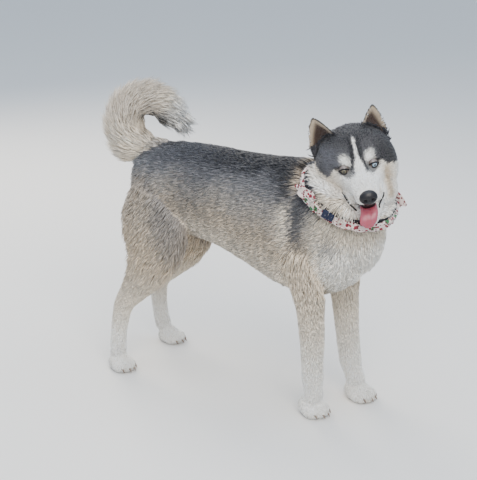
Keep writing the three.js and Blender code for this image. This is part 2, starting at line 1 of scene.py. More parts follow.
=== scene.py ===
"""Siberian husky: the skin, the coat, the face details and the worn pieces of a life-size still model.

Sizes inside the builders are millimetres in the dog's own frame: +X towards the chest, +Y to the dog's
left, +Z up, with the origin on the floor half way between the hind and the fore feet. place() turns them
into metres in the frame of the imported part.
"""

import bmesh
import bpy
import numpy as np
from mathutils import Matrix, Vector


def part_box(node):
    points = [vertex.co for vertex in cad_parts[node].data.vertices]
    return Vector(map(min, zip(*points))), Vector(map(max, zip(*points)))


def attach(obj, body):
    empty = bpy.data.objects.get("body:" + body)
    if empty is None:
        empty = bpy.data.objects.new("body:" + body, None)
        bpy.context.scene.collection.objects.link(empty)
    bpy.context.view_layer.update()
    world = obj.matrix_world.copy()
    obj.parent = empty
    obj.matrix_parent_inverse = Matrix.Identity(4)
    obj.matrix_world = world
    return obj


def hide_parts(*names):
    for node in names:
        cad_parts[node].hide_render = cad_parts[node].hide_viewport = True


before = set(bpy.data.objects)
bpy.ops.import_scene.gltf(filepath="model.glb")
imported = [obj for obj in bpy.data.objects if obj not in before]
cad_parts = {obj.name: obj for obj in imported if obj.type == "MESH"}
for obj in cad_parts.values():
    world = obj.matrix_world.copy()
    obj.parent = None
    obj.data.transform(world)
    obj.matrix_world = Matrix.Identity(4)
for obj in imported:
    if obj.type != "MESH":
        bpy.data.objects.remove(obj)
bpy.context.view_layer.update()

bl_info = {
    "name": "Siberian Husky",
    "version": (1, 0, 0),
    "blender": (4, 5, 0),
    "location": "View3D > Sidebar > Husky",
    "description": "Builds a standing husky with a mesh coat, a collar and a neckerchief",
    "category": "Add Mesh",
}

# The head's own frame: forward along the muzzle, left and up, from a point midway between the eyes
EYES_AT = np.array([324.0, -62.0, 619.0])
YAW, PITCH, ROLL = np.radians([-56.0, -8.0, 14.0])
HEAD_F = np.array([np.cos(PITCH) * np.cos(YAW), np.cos(PITCH) * np.sin(YAW), np.sin(PITCH)])
LEVEL = np.array([-np.sin(YAW), np.cos(YAW), 0.0])
HEAD_L = LEVEL * np.cos(ROLL) + np.cross(HEAD_F, LEVEL) * np.sin(ROLL)
HEAD_U = np.cross(HEAD_F, HEAD_L)
HEAD = np.stack([HEAD_F, HEAD_L, HEAD_U])
# In the head's frame: each eye's distance from the middle, and the middle of the nose
EYE_OUT = 32.0
NOSE_AT = (99, 0, -30)


def in_head(f, l, u):
    """A point of the head's frame, forward, left and up, in the dog's frame; the arguments may be arrays."""
    point = EYES_AT
    for amount, way in zip((f, l, u), HEAD):
        point = point + np.multiply.outer(amount, way)
    return point


def to_head(points):
    """Points of the dog's frame in the head's frame: forward, left and up."""
    return (points - EYES_AT) @ HEAD.T


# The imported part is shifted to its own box; the right eye shows by how much
_low, _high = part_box("eye_right")
SHIFT = (np.array(_low) + np.array(_high)) / 2 - in_head(0.0, -EYE_OUT, 0.0) / 1000


def place(points):
    """Millimetres in the dog's frame to metres in the part's frame."""
    return np.asarray(points, float) / 1000 + SHIFT


# Stations of the body, out to the tips of the coat. Torso: x, top, bottom, half width
TORSO = [
    (-292, 518, 455, 34), (-268, 560, 410, 70), (-215, 585, 382, 94), (-150, 593, 366, 102),
    (-70, 595, 356, 99), (0, 593, 338, 103), (70, 594, 311, 111), (140, 599, 286, 114),
    (200, 599, 281, 110), (250, 583, 290, 112), (296, 552, 318, 104), (330, 508, 362, 80),
]
# Sweeps: x, y, z, half width, radius to the front, radius to the back
NECK = [
    (222, 0, 468, 98, 104, 100), (254, -2, 514, 98, 102, 100), (266, 4, 550, 84, 88, 88),
    (262, -4, 586, 64, 58, 72), (256, -10, 606, 44, 38, 48),
]
LEGS = {
    "fore_right": [
        (206, -72, 400, 44, 56, 54), (213, -77, 350, 40, 50, 46), (223, -80, 312, 35, 42, 40),
        (231, -80, 262, 31, 35, 32), (237, -78, 200, 28, 30, 28), (240, -76, 140, 26, 26, 25),
        (241, -74, 98, 27, 27, 25), (242, -72, 68, 25, 25, 21), (245, -70, 42, 25, 23, 22),
    ],
    "fore_left": [
        (222, 68, 400, 50, 66, 54), (228, 74, 350, 45, 56, 48), (236, 77, 308, 38, 46, 42),
        (246, 76, 258, 33, 36, 34), (256, 74, 198, 29, 29, 30), (266, 72, 140, 27, 26, 29),
        (273, 71, 98, 28, 26, 28), (282, 70, 68, 25, 24, 23), (293, 69, 42, 25, 23, 24),
    ],
    "hind_right": [
        (-200, -46, 500, 46, 66, 78), (-192, -66, 440, 48, 88, 100), (-190, -80, 380, 48, 88, 98),
        (-194, -88, 325, 43, 74, 80), (-214, -92, 270, 35, 52, 56), (-248, -94, 222, 28, 36, 36),
        (-278, -95, 182, 24, 27, 28), (-290, -97, 140, 22, 22, 24), (-297, -100, 90, 21, 21, 21),
        (-296, -104, 42, 22, 22, 21),
    ],
    "hind_left": [
        (-206, 46, 500, 46, 66, 74), (-202, 66, 440, 48, 86, 92), (-202, 80, 380, 48, 84, 84),
        (-206, 88, 325, 43, 70, 68), (-228, 92, 270, 35, 50, 50), (-264, 95, 222, 29, 34, 34),
        (-297, 97, 182, 24, 25, 26), (-306, 100, 140, 22, 22, 23), (-306, 104, 90, 21, 21, 21),
        (-297, 107, 42, 22, 22, 22),
    ],
}
TAIL = [
    (-208, 0, 556, 36, 30, 38), (-255, 0, 555, 44, 36, 46), (-300, 0, 571, 50, 36, 56),
    (-325, 2, 606, 52, 34, 58), (-319, 8, 645, 50, 32, 58), (-288, 22, 668, 46, 34, 48),
    (-250, 38, 660, 38, 36, 38), (-218, 52, 632, 20, 22, 22),
]
CURL_CENTRE = np.array([-262.0, 16.0, 612.0])
# Head: forward, top, bottom, half width
SKULL = [
    (-118, 34, -64, 50), (-104, 56, -88, 70), (-80, 69, -110, 86), (-52, 72, -116, 91),
    (-26, 63, -106, 85), (-8, 36, -88, 62), (7, 11, -72, 48), (22, 1, -60, 40), (45, -3, -50, 31.5),
    (68, -9, -47, 27.5), (86, -15, -46, 23.5), (97, -22, -44, 16),
]
JAW = [
    (-42, -48, -114, 58), (-10, -58, -112, 50), (20, -62, -108, 38), (48, -73, -106, 26),
    (70, -82, -106, 19), (82, -88, -104, 12),
]
# The dark line of the lip, from the mouth's corner down: forward, out, up, thickness
MOUTH_LINE = [
    (14, 46, -44, 0.9), (28, 43, -47, 1.7), (38, 39, -55, 2.0), (43, 34, -67, 2.2), (50, 25, -82, 2.2),
]
# Paws: middle of the sole, heading in degrees, length, width, height
PAWS = {
    "fore_right": ((247, -69), -14, 86, 66, 42),
    "fore_left": ((306, 68), -8, 88, 68, 42),
    "hind_right": ((-282, -107), -10, 82, 60, 38),
    "hind_left": ((-270, 109), 4, 82, 60, 38),
}
# Toes: place across in toe widths, reach ahead as a share of the paw, height as a share of the tallest
TOES = ((-1.5, 0.1, 0.82), (-0.5, 0.27, 1), (0.5, 0.27, 1), (1.5, 0.1, 0.82))
# Quads up and across each wall of an ear
EAR_STEPS = 24
# The lowest points of the skin and of the hair above the floor
SOLE_GAP, HAIR_GAP = 0.2, 1.0
# The skin's voxels in metres, and how often it is smoothed
BODY_VOXEL, BODY_PASSES = 0.0052, 6
HEAD_VOXEL, HEAD_PASSES = 0.0023, 3
# How deep the skin lies below the stations' surface
SKIN_DEPTH = {"torso": 9.5, "neck": 13, "tail": 19}
# The skin's colour as a share of the hair's over it: painted shade under the hair
SHADE_UNDER_HAIR = 0.86
# An ear's hair: length, stand and width of a tuft
EAR_HAIR = (3.6, 0.1, 1.5)
# How often the lie and the size of the hair are evened out over the skin
COMB_PASSES = 14
# The collar's ring round the neck
STRAP_AT = np.array([292.0, -28.0, 544.0])
STRAP_NORMAL = np.array([0.4, -0.16, 0.9]) / np.linalg.norm([0.4, -0.16, 0.9])
STRAP_RADII = (106.0, 104.0)


def srgb(hex_text):
    """An sRGB hex colour as linear red, green and blue."""
    values = np.array([int(hex_text[i : i + 2], 16) / 255 for i in (1, 3, 5)])
    return np.where(values <= 0.04045, values / 12.92, ((values + 0.055) / 1.055) ** 2.4)


def unit(vectors):
    """The vectors with length one."""
    vectors = np.asarray(vectors, float)
    return vectors / np.maximum(np.linalg.norm(vectors, axis=-1, keepdims=True), 1e-9)


def ramp(value, start, end):
    """A smooth step from 0 at start to 1 at end."""
    t = np.clip((np.asarray(value, float) - start) / (end - start), 0, 1)
    return t * t * (3 - 2 * t)


def bell(*scaled):
    """1 where every scaled distance is 0, falling off as a bell."""
    return np.exp(-sum(value**2 for value in scaled))


def refine(stations, steps):
    """Catmull-Rom rows between stations."""
    s = np.asarray(stations, float)
    rows = []
    for i in range(len(s) - 1):
        a, b, c, d = (s[min(max(i + k, 0), len(s) - 1)] for k in (-1, 0, 1, 2))
        for t in np.arange(steps) / steps:
            mb, mc = (c - a) / 2, (d - b) / 2
            rows.append(
                (2 * t**3 - 3 * t**2 + 1) * b + (t**3 - 2 * t**2 + t) * mb
                + (3 * t**2 - 2 * t**3) * c + (t**3 - t**2) * mc
            )
    rows.append(s[-1])
    return np.array(rows)


class Rings:
    """Rings along a body: centres, axes across and towards the front, and radii."""

    def __init__(self, centre, along, front, side, wide, ahead, behind):
        self.centre, self.along, self.front, self.side = centre, along, front, side
        self.wide, self.ahead, self.behind = wide, ahead, behind

    def shrunk(self, depth):
        """The same rings with every radius smaller by a depth, but never under a third of itself."""
        depth = np.broadcast_to(depth, self.wide.shape)
        cut = [np.maximum(r - depth, 0.34 * r) for r in (self.wide, self.ahead, self.behind)]
        return Rings(self.centre, self.along, self.front, self.side, *cut)


def swept(stations, steps, front_way=None, point=None):
    """Rings across the line of the stations; the front looks along a way or at a point."""
    rows = refine(stations, steps)
    c = rows[:, :3]
    along = unit(np.vstack([c[1] - c[0], c[2:] - c[:-2], c[-1] - c[-2]]))
    facing = (point - c) if point is not None else np.tile(np.asarray(front_way, float), (len(c), 1))
    front = unit(facing - along * (facing * along).sum(1, keepdims=True))
    return Rings(c, along, front, np.cross(front, along), rows[:, 3], rows[:, 4], rows[:, 5])


def torso_rings(steps=3):
    """Rings of the torso, which lie across X."""
    rows = refine(TORSO, steps)
    n = len(rows)
    half = (rows[:, 1] - rows[:, 2]) / 2
    c = np.stack([rows[:, 0], np.zeros(n), (rows[:, 1] + rows[:, 2]) / 2], 1)
    axes = [np.tile(a, (n, 1)) for a in ((1.0, 0, 0), (0, 0, 1.0), (0, 1.0, 0))]
    return Rings(c, axes[0], axes[1], axes[2], rows[:, 3], half, half)


def head_rings(stations, steps=4):
    """Rings of the head, which lie across its forward axis."""
    rows = refine(stations, steps)
    n = len(rows)
    half = (rows[:, 1] - rows[:, 2]) / 2
    c = in_head(rows[:, 0], np.zeros(n), (rows[:, 1] + rows[:, 2]) / 2)
    axes = [np.tile(a, (n, 1)) for a in HEAD]
    return Rings(c, axes[0], axes[2], axes[1], rows[:, 3], half, half)


def ring_points(rings, around, power=2.0):
    """Points round every ring: an ellipse with unlike front and back halves, squared by its power."""
    a = np.linspace(0, 2 * np.pi, around, endpoint=False)
    c, s = np.cos(a), np.sin(a)
    c, s = (np.sign(v) * np.abs(v) ** (2 / power) for v in (c, s))
    depth = np.where(s > 0, rings.ahead[:, None], rings.behind[:, None])
    return (
        rings.centre[:, None]
        + rings.side[:, None] * (rings.wide[:, None] * c)[..., None]
        + rings.front[:, None] * (depth * s)[..., None]
    )


def ring_faces(rows, around, closed=False):
    """Quads from each ring of points to the next, and from the last to the first where closed."""
    k = np.arange(around)
    nxt = (k + 1) % around
    faces = []
    for i in range(rows if closed else rows - 1):
        a, b = i * around, (i + 1) % rows * around
        faces += np.stack([a + k, a + nxt, b + nxt, b + k], 1).tolist()
    return faces


def fan(tip, first, around, turned=False):
    """Triangles from a tip to the ring of points that starts at first."""
    k = np.arange(around)
    a, b = first + k, first + (k + 1) % around
    return np.stack([np.full(around, tip), *((b, a) if turned else (a, b))], 1).tolist()


def tube(rings, around, power=2.0, domes=(0.5, 0.5), caps=3):
    """Vertices and faces of the closed surface through rings, with a rounded dome at each end."""
    body = ring_points(rings, around, power)
    rows, tips = list(body), []
    for end, dome in ((0, domes[0]), (-1, domes[1])):
        centre, along = rings.centre[end], rings.along[end] * (-1 if end == 0 else 1)
        extra = []
        for k in range(1, caps):
            t = k / caps * np.pi / 2
            rise = along * dome * rings.wide[end] * np.sin(t)
            extra.append(centre + (body[end] - centre) * np.cos(t) + rise)
        rows = extra[::-1] + rows if end == 0 else rows + extra
        tips.append(centre + along * dome * rings.wide[end])
    verts = np.vstack([np.vstack(rows), tips])
    n, m = len(rows), around
    return verts, ring_faces(n, m) + fan(n * m, 0, m, True) + fan(n * m + 1, (n - 1) * m, m)


def ball(centre, axes, radii, around=24, along=16):
    """Vertices and faces of an ellipsoid in a frame of three axes."""
    t = np.pi * np.arange(1, along) / along
    a = np.linspace(0, 2 * np.pi, around, endpoint=False)
    x = np.cos(t)[:, None] * np.ones(around)
    y, z = np.sin(t)[:, None] * np.cos(a), np.sin(t)[:, None] * np.sin(a)
    grid = np.stack([x, y, z], -1).reshape(-1, 3)
    local = np.vstack([grid, [[1, 0, 0], [-1, 0, 0]]]) * np.asarray(radii, float)
    verts = np.asarray(centre) + local @ np.asarray(axes, float)
    m, n = around, along - 1
    quads = [face[::-1] for face in ring_faces(n, m)]
    return verts, quads + fan(n * m, 0, m) + fan(n * m + 1, (n - 1) * m, m, True)


def joined(parts):
    """Several vertex and face lists as one."""
    verts, faces, base = [], [], 0
    for v, f in parts:
        verts.append(v)
        faces += [[i + base for i in face] for face in f]
        base += len(v)
    return np.vstack(verts), faces


def make_mesh(name, verts, faces, smooth=True):
    """A Blender object at the origin from points in the dog's frame."""
    mesh = bpy.data.meshes.new(name)
    mesh.from_pydata(place(verts).tolist(), [], [list(map(int, f)) for f in faces])
    mesh.validate()
    mesh.update()
    if smooth:
        mesh.shade_smooth()
    made = bpy.data.objects.new(name, mesh)
    bpy.context.scene.collection.objects.link(made)
    return made


def outward(obj):
    """Turns the faces of a closed mesh outwards."""
    bm = bmesh.new()
    bm.from_mesh(obj.data)
    bmesh.ops.recalc_face_normals(bm, faces=bm.faces)
    bm.to_mesh(obj.data)
    bm.free()


def remeshed(name, parts, voxel, smooth):
    """One closed skin round several closed bodies, by voxels of the given size in metres, then smoothed."""
    verts, faces = joined(parts)
    source = make_mesh(name + "_source", verts, faces)
    outward(source)
    step = source.modifiers.new("skin", "REMESH")
    step.mode = "VOXEL"
    step.voxel_size = voxel
    step.use_smooth_shade = True
    soften = source.modifiers.new("soften", "SMOOTH")
    soften.factor = 0.5
    soften.iterations = smooth
    graph = bpy.context.evaluated_depsgraph_get()
    mesh = bpy.data.meshes.new_from_object(source.evaluated_get(graph))
    mesh.name = name
    bpy.data.objects.remove(source)
    return mesh


def fetched(rows, name, width=1, kind=float):
    """A named value of every vertex, edge, loop or face as an array with rows of the given width."""
    found = np.empty(len(rows) * width, kind)
    rows.foreach_get(name, found)
    return found.reshape(-1, width) if width > 1 else found


def points_of(mesh):
    """The vertices in the dog's frame."""
    return (fetched(mesh.vertices, "co", 3) - SHIFT) * 1000


def triangles_of(mesh):
    """The corners of every triangle, as numbers of vertices and as numbers of loops."""
    mesh.calc_loop_triangles()
    return [fetched(mesh.loop_triangles, name, 3, int) for name in ("vertices", "loops")]


def normals_of(mesh):
    """The vertex normals of a mesh."""
    return fetched(mesh.vertex_normals, "vector", 3)


def noise(points, size, seed=0):
    """Smooth noise from about -1 to 1 at points, made of a few crossing waves of about the given size."""
    rng = np.random.default_rng(seed)
    total = np.zeros(len(points))
    waves, gain = 7, 1.8
    for _ in range(waves):
        way = unit(rng.normal(size=3)) * (2 * np.pi / size) * rng.uniform(0.6, 1.6)
        total += np.sin(points @ way + rng.uniform(0, 6.28))
    return total / waves * gain


# The fields that the coat follows

REGIONS = ("torso", "neck", "head", "jaw", "fore_right", "fore_left", "hind_right", "hind_left", "tail")


def region_rings():
    """The rings of every region by name."""
    rings = {name: swept(stations, 3, (1, 0, 0)) for name, stations in LEGS.items()}
    rings.update(torso=torso_rings(3), head=head_rings(SKULL, 3), jaw=head_rings(JAW, 3))
    rings.update(neck=swept(NECK, 4, (1, 0, 0)), tail=swept(TAIL, 4, point=CURL_CENTRE))
    return rings


def nearest_region(points, rings_by_name):
    """The region that each point lies nearest to, measured in radii, and the share along that region."""
    best = np.full(len(points), 1e9)
    which = np.zeros(len(points), int)
    share = np.zeros(len(points))
    for number, name in enumerate(REGIONS):
        r = rings_by_name[name]
        radius = (r.wide + r.ahead + r.behind) / 3
        for i in range(len(r.centre)):
            d = points - r.centre[i]
            a, b, c = d @ r.along[i], d @ r.side[i], d @ r.front[i]
            depth = np.where(c > 0, r.ahead[i], r.behind[i])
            value = np.sqrt((a / (radius[i] * 0.7)) ** 2 + (b / r.wide[i]) ** 2 + (c / depth) ** 2)
            nearer = value < best
            best[nearer], which[nearer], share[nearer] = value[nearer], number, i / (len(r.centre) - 1)
    return which, share


def lie_of(points, normals, which, share, rings_by_name):
    """The way that the hair lies: from the nose back, down the neck and flanks, down the legs."""
    way = np.zeros_like(points)
    for number, name in enumerate(REGIONS):
        at = which == number
        if not at.any():
            continue
        p = points[at]
        if name == "torso":
            front = ramp(p[:, 0], 235, 320)[:, None]
            side = np.abs(normals[at][:, 1:2])
            flank = np.array([-1.0, 0, 0]) + side * np.array([0, 0, -0.45])
            way[at] = (1 - front) * flank + front * np.array([-0.15, 0, -1.0])
        elif name == "neck":
            way[at] = np.array([-0.35, 0, -0.9]) + np.array([-0.3, 0, 0]) * (p[:, 0:1] < 240)
        elif name in ("head", "jaw"):
            _, l, u = to_head(p).T
            outward_way = 0.5 * np.sign(l) * ramp(np.abs(l), 8, 40)
            way[at] = np.stack([-np.ones(len(p)), outward_way, -0.35 * ramp(-u, 5, 60)], 1) @ HEAD
        else:
            r = rings_by_name[name]
            index = np.clip(np.round(share[at] * (len(r.centre) - 1)).astype(int), 0, len(r.centre) - 1)
            way[at] = r.along[index]
            if name.startswith("hind"):
                way[at] += np.array([-0.55, 0, 0]) * ramp(p[:, 2], 230, 330)[:, None]
    way -= normals * (way * normals).sum(1, keepdims=True)
    return unit(way)


def coat_of(points, which):
    """Rows of the hair's length in millimetres, its stand as a share of that, and a tuft's width."""
    size = np.empty((len(points), 3))
    length, stand, width = size.T
    h = to_head(points)
    plain = {"torso": (26, 0.27, 3.2), "neck": (30, 0.36, 3.6), "tail": (46, 0.58, 3.4)}
    for number, name in enumerate(REGIONS):
        at = which == number
        z = points[at][:, 2]
        if name in plain:
            size[at] = plain[name]
        elif name.startswith("fore"):
            high = ramp(z, 240, 340)
            length[at] = 9 + 16 * high + 5 * ramp(z, 60, 200)
            stand[at] = 0.26
            width[at] = 2.1 + 1.4 * high
        elif name.startswith("hind"):
            high = ramp(z, 200, 300)
            length[at] = 10 + 22 * high
            stand[at] = 0.24 + 0.1 * high
            width[at] = 2.1 + 1.6 * high
        else:
            f, l, u = h[at].T
            back = ramp(-f, 8, 75)
            cheek = ramp(-f, 15, 70) * ramp(-u, -5, 70)
            far = ramp(np.abs(l), 40, 70)
            length[at] = 7 + 11 * back + 24 * cheek * (0.5 + 0.5 * far)
            stand[at] = 0.26 + 0.12 * back + 0.26 * cheek
            width[at] = 1.9 + 1.3 * back + 1.1 * cheek
    length[points[:, 2] < 45] *= 0.7
    return size


PALETTE = {
    "black": srgb("#23242a"), "dark": srgb("#43454d"), "slate": srgb("#6f7179"), "grey": srgb("#b1a9a0"),
    "tan": srgb("#c4b094"), "cream": srgb("#e6dbca"), "white": srgb("#fbf8f2"), "sand": srgb("#d3c3ad"),
    # brown is painted shade for the hollows of the ears
    "brown": srgb("#4b3a35"),
}


def blend(colour, name, amount):
    """Moves colours towards one of the palette by an amount for each point."""
    amount = np.clip(amount, 0, 1)[:, None]
    return colour * (1 - amount) + PALETTE[name] * amount


def torso_colour(points, wave, fine):
    """Dark above, grey at the sides and cream below, with the shoulder's bands and a pale chest."""
    x, _, z = points.T
    colour = np.tile(PALETTE["grey"], (len(points), 1))
    r = torso_rings(1)
    top = np.interp(x, r.centre[:, 0], r.centre[:, 2] + r.ahead)
    bottom = np.interp(x, r.centre[:, 0], r.centre[:, 2] - r.ahead)
    high = (z - bottom) / np.maximum(top - bottom, 1) + 0.04 * wave + 0.02 * fine
    colour = blend(colour, "tan", 0.6 * (1 - ramp(high, 0.4, 0.66)))
    colour = blend(colour, "slate", 0.75 * ramp(high, 0.6, 0.84))
    colour = blend(colour, "dark", 0.9 * ramp(high, 0.8, 0.93) * (0.35 + 0.65 * ramp(x, -230, -110)))
    colour = blend(colour, "black", 0.95 * ramp(high, 0.84, 0.95) * ramp(x, -160, -40))
    colour = blend(colour, "cream", 1 - ramp(high, 0.14, 0.5))
    flank = ramp(x, -140, -100) * (1 - ramp(x, -70, 10)) * ramp(high, 0.2, 0.5)
    colour = blend(colour, "dark", 0.4 * flank)
    # shoulder: a dark band, a light streaked band in front of it, a cream stripe and a dark patch
    band = bell((x - 168 + 0.1 * (z - 560)) / 15) * ramp(z, 500, 545)
    colour = blend(colour, "black", 0.95 * band)
    light = bell((x - 200) / 17) * ramp(z, 520, 560)
    colour = blend(colour, "sand", 0.85 * light)
    front_band = bell((x - 226) / 13) * ramp(z, 530, 565)
    colour = blend(colour, "dark", 0.85 * front_band)
    stripe = bell((x - 176) / 13) * ramp(z, 400, 440) * (1 - ramp(z, 505, 530))
    colour = blend(colour, "cream", 0.95 * stripe)
    patch = bell((x - 210) / 17) * ramp(z, 420, 450) * (1 - ramp(z, 515, 540))
    colour = blend(colour, "dark", 0.85 * patch)
    chest = ramp(x, 225, 262) * (1 - ramp(z, 540, 585))
    colour = blend(colour, "cream", chest)
    colour = blend(colour, "white", 0.7 * ramp(x, 245, 285) * (1 - ramp(z, 430, 470)))
    for spot in ((284, -105, 444), (330, 92, 455)):
        away = np.linalg.norm((points - spot) / (13, 30, 24), axis=1)
        colour = blend(colour, "dark", 0.6 * bell(away))
    before_tail = np.linalg.norm((points - (-172, 0, 594)) / (30, 34, 26), axis=1)
    colour = blend(colour, "black", 0.85 * bell(before_tail))
    return colour


def neck_colour(colour, points):
    """The torso's colour with a dark nape and a cream and white throat."""
    x, _, z = points.T
    low = 1 - ramp(z, 560, 588)
    colour = blend(colour, "dark", 0.9 * (1 - ramp(x, 236, 268)) * ramp(z, 505, 545))
    colour = blend(colour, "dark", 0.9 * (1 - low))
    colour = blend(colour, "cream", 0.9 * ramp(x, 255, 290) * low)
    return blend(colour, "white", 0.7 * ramp(x, 300, 340) * low)


def foreleg_colour(points):
    """Sand at the elbow, cream below it and white at the foot."""
    z = points[:, 2]
    c = np.tile(PALETTE["cream"], (len(z), 1))
    c = blend(c, "sand", 0.55 * ramp(z, 230, 360))
    return blend(c, "white", 1 - ramp(z, 60, 280))


def hindleg_colour(points, wave):
    """Grey thigh with a slate front, cream behind it and on the shank, and white at the foot."""
    x, _, z = points.T
    c = np.tile(PALETTE["sand"], (len(z), 1))
    c = blend(c, "grey", 0.6 * ramp(z + 12 * wave, 340, 470))
    c = blend(c, "slate", 0.5 * ramp(z, 470, 540))
    front = ramp(x + 0.32 * (z - 340), -178, -120) * ramp(z, 290, 350)
    c = blend(c, "slate", 0.5 * front)
    c = blend(c, "cream", 1 - ramp(z, 210, 330))
    c = blend(c, "cream", 0.75 * ramp(-x, 268, 300) * ramp(z, 250, 330))
    return blend(c, "white", 1 - ramp(z, 50, 220))


def tail_colour(points, share):
    """Cream, slate at the root, a slate and black inside of the curl, and a white tip."""
    z = points[:, 2]
    inner = -((points - CURL_CENTRE) ** 2).sum(1) ** 0.5
    black_part = ramp(inner, -60, -40) * ramp(share, 0.55, 0.66)
    c = np.tile(PALETTE["cream"], (len(z), 1))
    c = blend(c, "grey", 0.5 * ramp(share, 0.3, 0.5) * (1 - ramp(share, 0.66, 0.8)))
    c = blend(c, "slate", 0.75 * ramp(inner, -62, -44) * ramp(share, 0.3, 0.5) * (1 - ramp(share, 0.8, 0.9)))
    c = blend(c, "black", 0.95 * black_part * (1 - ramp(share, 0.78, 0.86)))
    c = blend(c, "slate", 0.6 * (1 - ramp(share, 0.04, 0.2)) * ramp(z, 555, 585))
    return blend(c, "white", 0.95 * ramp(share, 0.76, 0.88))


def markings(points, which, share):
    """The colour of the coat at each point, from smooth steps between places named in the dog's frame."""
    wave = noise(points, 90, 3)
    fine = noise(points, 26, 4)
    colour = torso_colour(points, wave, fine)
    for number, name in enumerate(REGIONS):
        at = which == number
        if name == "neck":
            colour[at] = neck_colour(colour[at], points[at])
        if name.startswith("fore"):
            colour[at] = foreleg_colour(points[at])
        if name.startswith("hind"):
            colour[at] = hindleg_colour(points[at], wave[at])
        if name == "tail":
            colour[at] = tail_colour(points[at], share[at])
    at = np.isin(which, [REGIONS.index("head"), REGIONS.index("jaw")])
    colour[at] = face_colour(points[at])
    return colour * (1 + 0.06 * fine[:, None] + 0.05 * wave[:, None])


def face_colour(points):
    """The mask: a dark cap down to the eyes, a white blaze, brows and muzzle, and pale cheeks."""
    f, l, u = to_head(points).T
    fine = noise(points, 14, 8)
    side = np.abs(l)
    c = np.tile(PALETTE["cream"], (len(points), 1))
    c = blend(c, "white", ramp(f, -25, 20))
    c = blend(c, "white", 0.8 * ramp(side, 62, 84) * ramp(-u, 0, 25))
    # the cap's edge comes down behind the eyes' outer corners, further on the dog's left temple
    edge = 12 - 10 * ramp(side, 28, 50) - 16 * ramp(side, 48, 64)
    edge = edge - 6 * ramp(l, 66, 84) + 14 * ramp(-l, 66, 84)
    cap = ramp(u - edge - 2.5 * fine, -4, 5) * (1 - ramp(f, 4, 16))
    c = blend(c, "dark", 0.95 * cap)
    temple = cap * ramp(-l, 24, 44) * (1 - ramp(-l, 62, 78)) * (1 - ramp(u, 34, 52))
    c = blend(c, "slate", 0.6 * temple)
    c = blend(c, "black", 0.75 * cap * np.maximum(ramp(u, 40, 60), ramp(l, 28, 56)))
    brow = np.exp(-((((side - 25) - 0.25 * (u - 17)) / 11.5) ** 2 + ((u - 17) / 13) ** 2) ** 1.8)
    c = blend(c, "white", 0.97 * brow)
    blaze = np.exp(-((l / (4.6 + 0.13 * np.clip(30 - u, 0, 60))) ** 4)) * (1 - ramp(u, 50, 60))
    c = blend(c, "white", blaze)
    bend = 9 + 6.5 * ramp(-u, -24, 6)
    line = np.exp(-(((side - bend) / 3.9) ** 4)) * ramp(u, -12, -2)
    line = line * (1 - ramp(u, 52, 64)) * (1 - ramp(f, 26, 40))
    c = blend(c, "black", 0.97 * line)
    ring = np.hypot((side - EYE_OUT) / 1.4, u)
    c = blend(c, "black", 0.75 * (1 - ramp(ring, 9.5, 12.5)) * (f > -25))
    c = blend(c, "black", 0.85 * bell((side - 50) / 7, (u + 1 - 0.12 * side) / 3.2))
    stripe = bell((l - 56) / 8) * ramp(-u, 8, 24) * (1 - ramp(-u, 70, 95))
    c = blend(c, "tan", 0.85 * stripe)
    c = blend(c, "sand", 0.5 * bell((l + 52) / 18, (u + 38) / 22))
    nape = ramp(-f, 62, 84) * ramp(u + 0.35 * side, -62, -30)
    c = blend(c, "dark", 0.9 * nape)
    c = blend(c, "grey", 0.5 * ramp(-f, 84, 110) * (1 - nape))
    streak = noise(np.stack([f * 0.22, l, u * 0.8], 1), 7, 9)
    return c * (1 + (0.05 + 0.2 * cap) * streak)[:, None]


# Materials


def add_node(tree, kind, values=None, links=None, **settings):
    """Adds a shader node, makes its settings, sets its inputs and links others to them."""
    node = tree.nodes.new(kind)
    for key, value in settings.items():
        setattr(node, key, value)
    for key, value in (values or {}).items():
        node.inputs[key].default_value = value
    for key, source in (links or {}).items():
        tree.links.new(source, node.inputs[key])
    return node


def material(name, roughness=0.6, colour=None, sheen=0.0, coat=0.0, subsurface=0.0, bump=None, spec=0.4):
    """A principled material with a plain colour or the piece's own, and a bump of a scale and a depth."""
    made = bpy.data.materials.new(name)
    made.use_nodes = True
    tree = made.node_tree
    shader = tree.nodes["Principled BSDF"]
    for key, value in {
        "Roughness": roughness, "Sheen Weight": sheen, "Coat Weight": coat, "Coat Roughness": 0.05,
        "Specular IOR Level": spec, "Subsurface Weight": subsurface, "Subsurface Scale": 0.004,
    }.items():
        shader.inputs[key].default_value = value
    if colour is None:
        source = add_node(tree, "ShaderNodeAttribute", attribute_name="coat")
        tree.links.new(source.outputs["Color"], shader.inputs["Base Color"])
    else:
        shader.inputs["Base Color"].default_value = (*colour, 1)
        made.diffuse_color = (*colour, 1)
    if bump:
        scale, depth = bump
        where = add_node(tree, "ShaderNodeTexCoord").outputs["Object"]
        grain = add_node(tree, "ShaderNodeTexNoise", {"Scale": scale, "Detail": 4.0}, {"Vector": where})
        values = {"Strength": 0.6, "Distance": depth}
        relief = add_node(tree, "ShaderNodeBump", values, {"Height": grain.outputs[0]})
        tree.links.new(relief.outputs[0], shader.inputs["Normal"])
    return made


def set_colours(mesh, colours):
    """Stores a linear colour for every vertex."""
    layer = mesh.color_attributes.new("coat", "FLOAT_COLOR", "POINT")
    flat = np.ones((len(colours), 4))
    flat[:, :3] = np.clip(colours, 0.001, 1)
    layer.data.foreach_set("color", flat.ravel())


def finish_piece(obj, mat, nodes=()):
    """Gives a piece its material, its body and the nodes that it replaces."""
    obj.data.materials.append(mat)
    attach(obj, "root")
    if nodes:
        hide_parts(*nodes)


def add_piece(name, shape, mat, nodes=(), colours=None, smooth=True):
    """Builds and finishes a piece from the vertices and faces of closed bodies."""
    made = make_mesh(name, *shape, smooth)
    outward(made)
    if colours is not None:
        set_colours(made.data, colours)
    finish_piece(made, mat, nodes)
    return made


# Skin


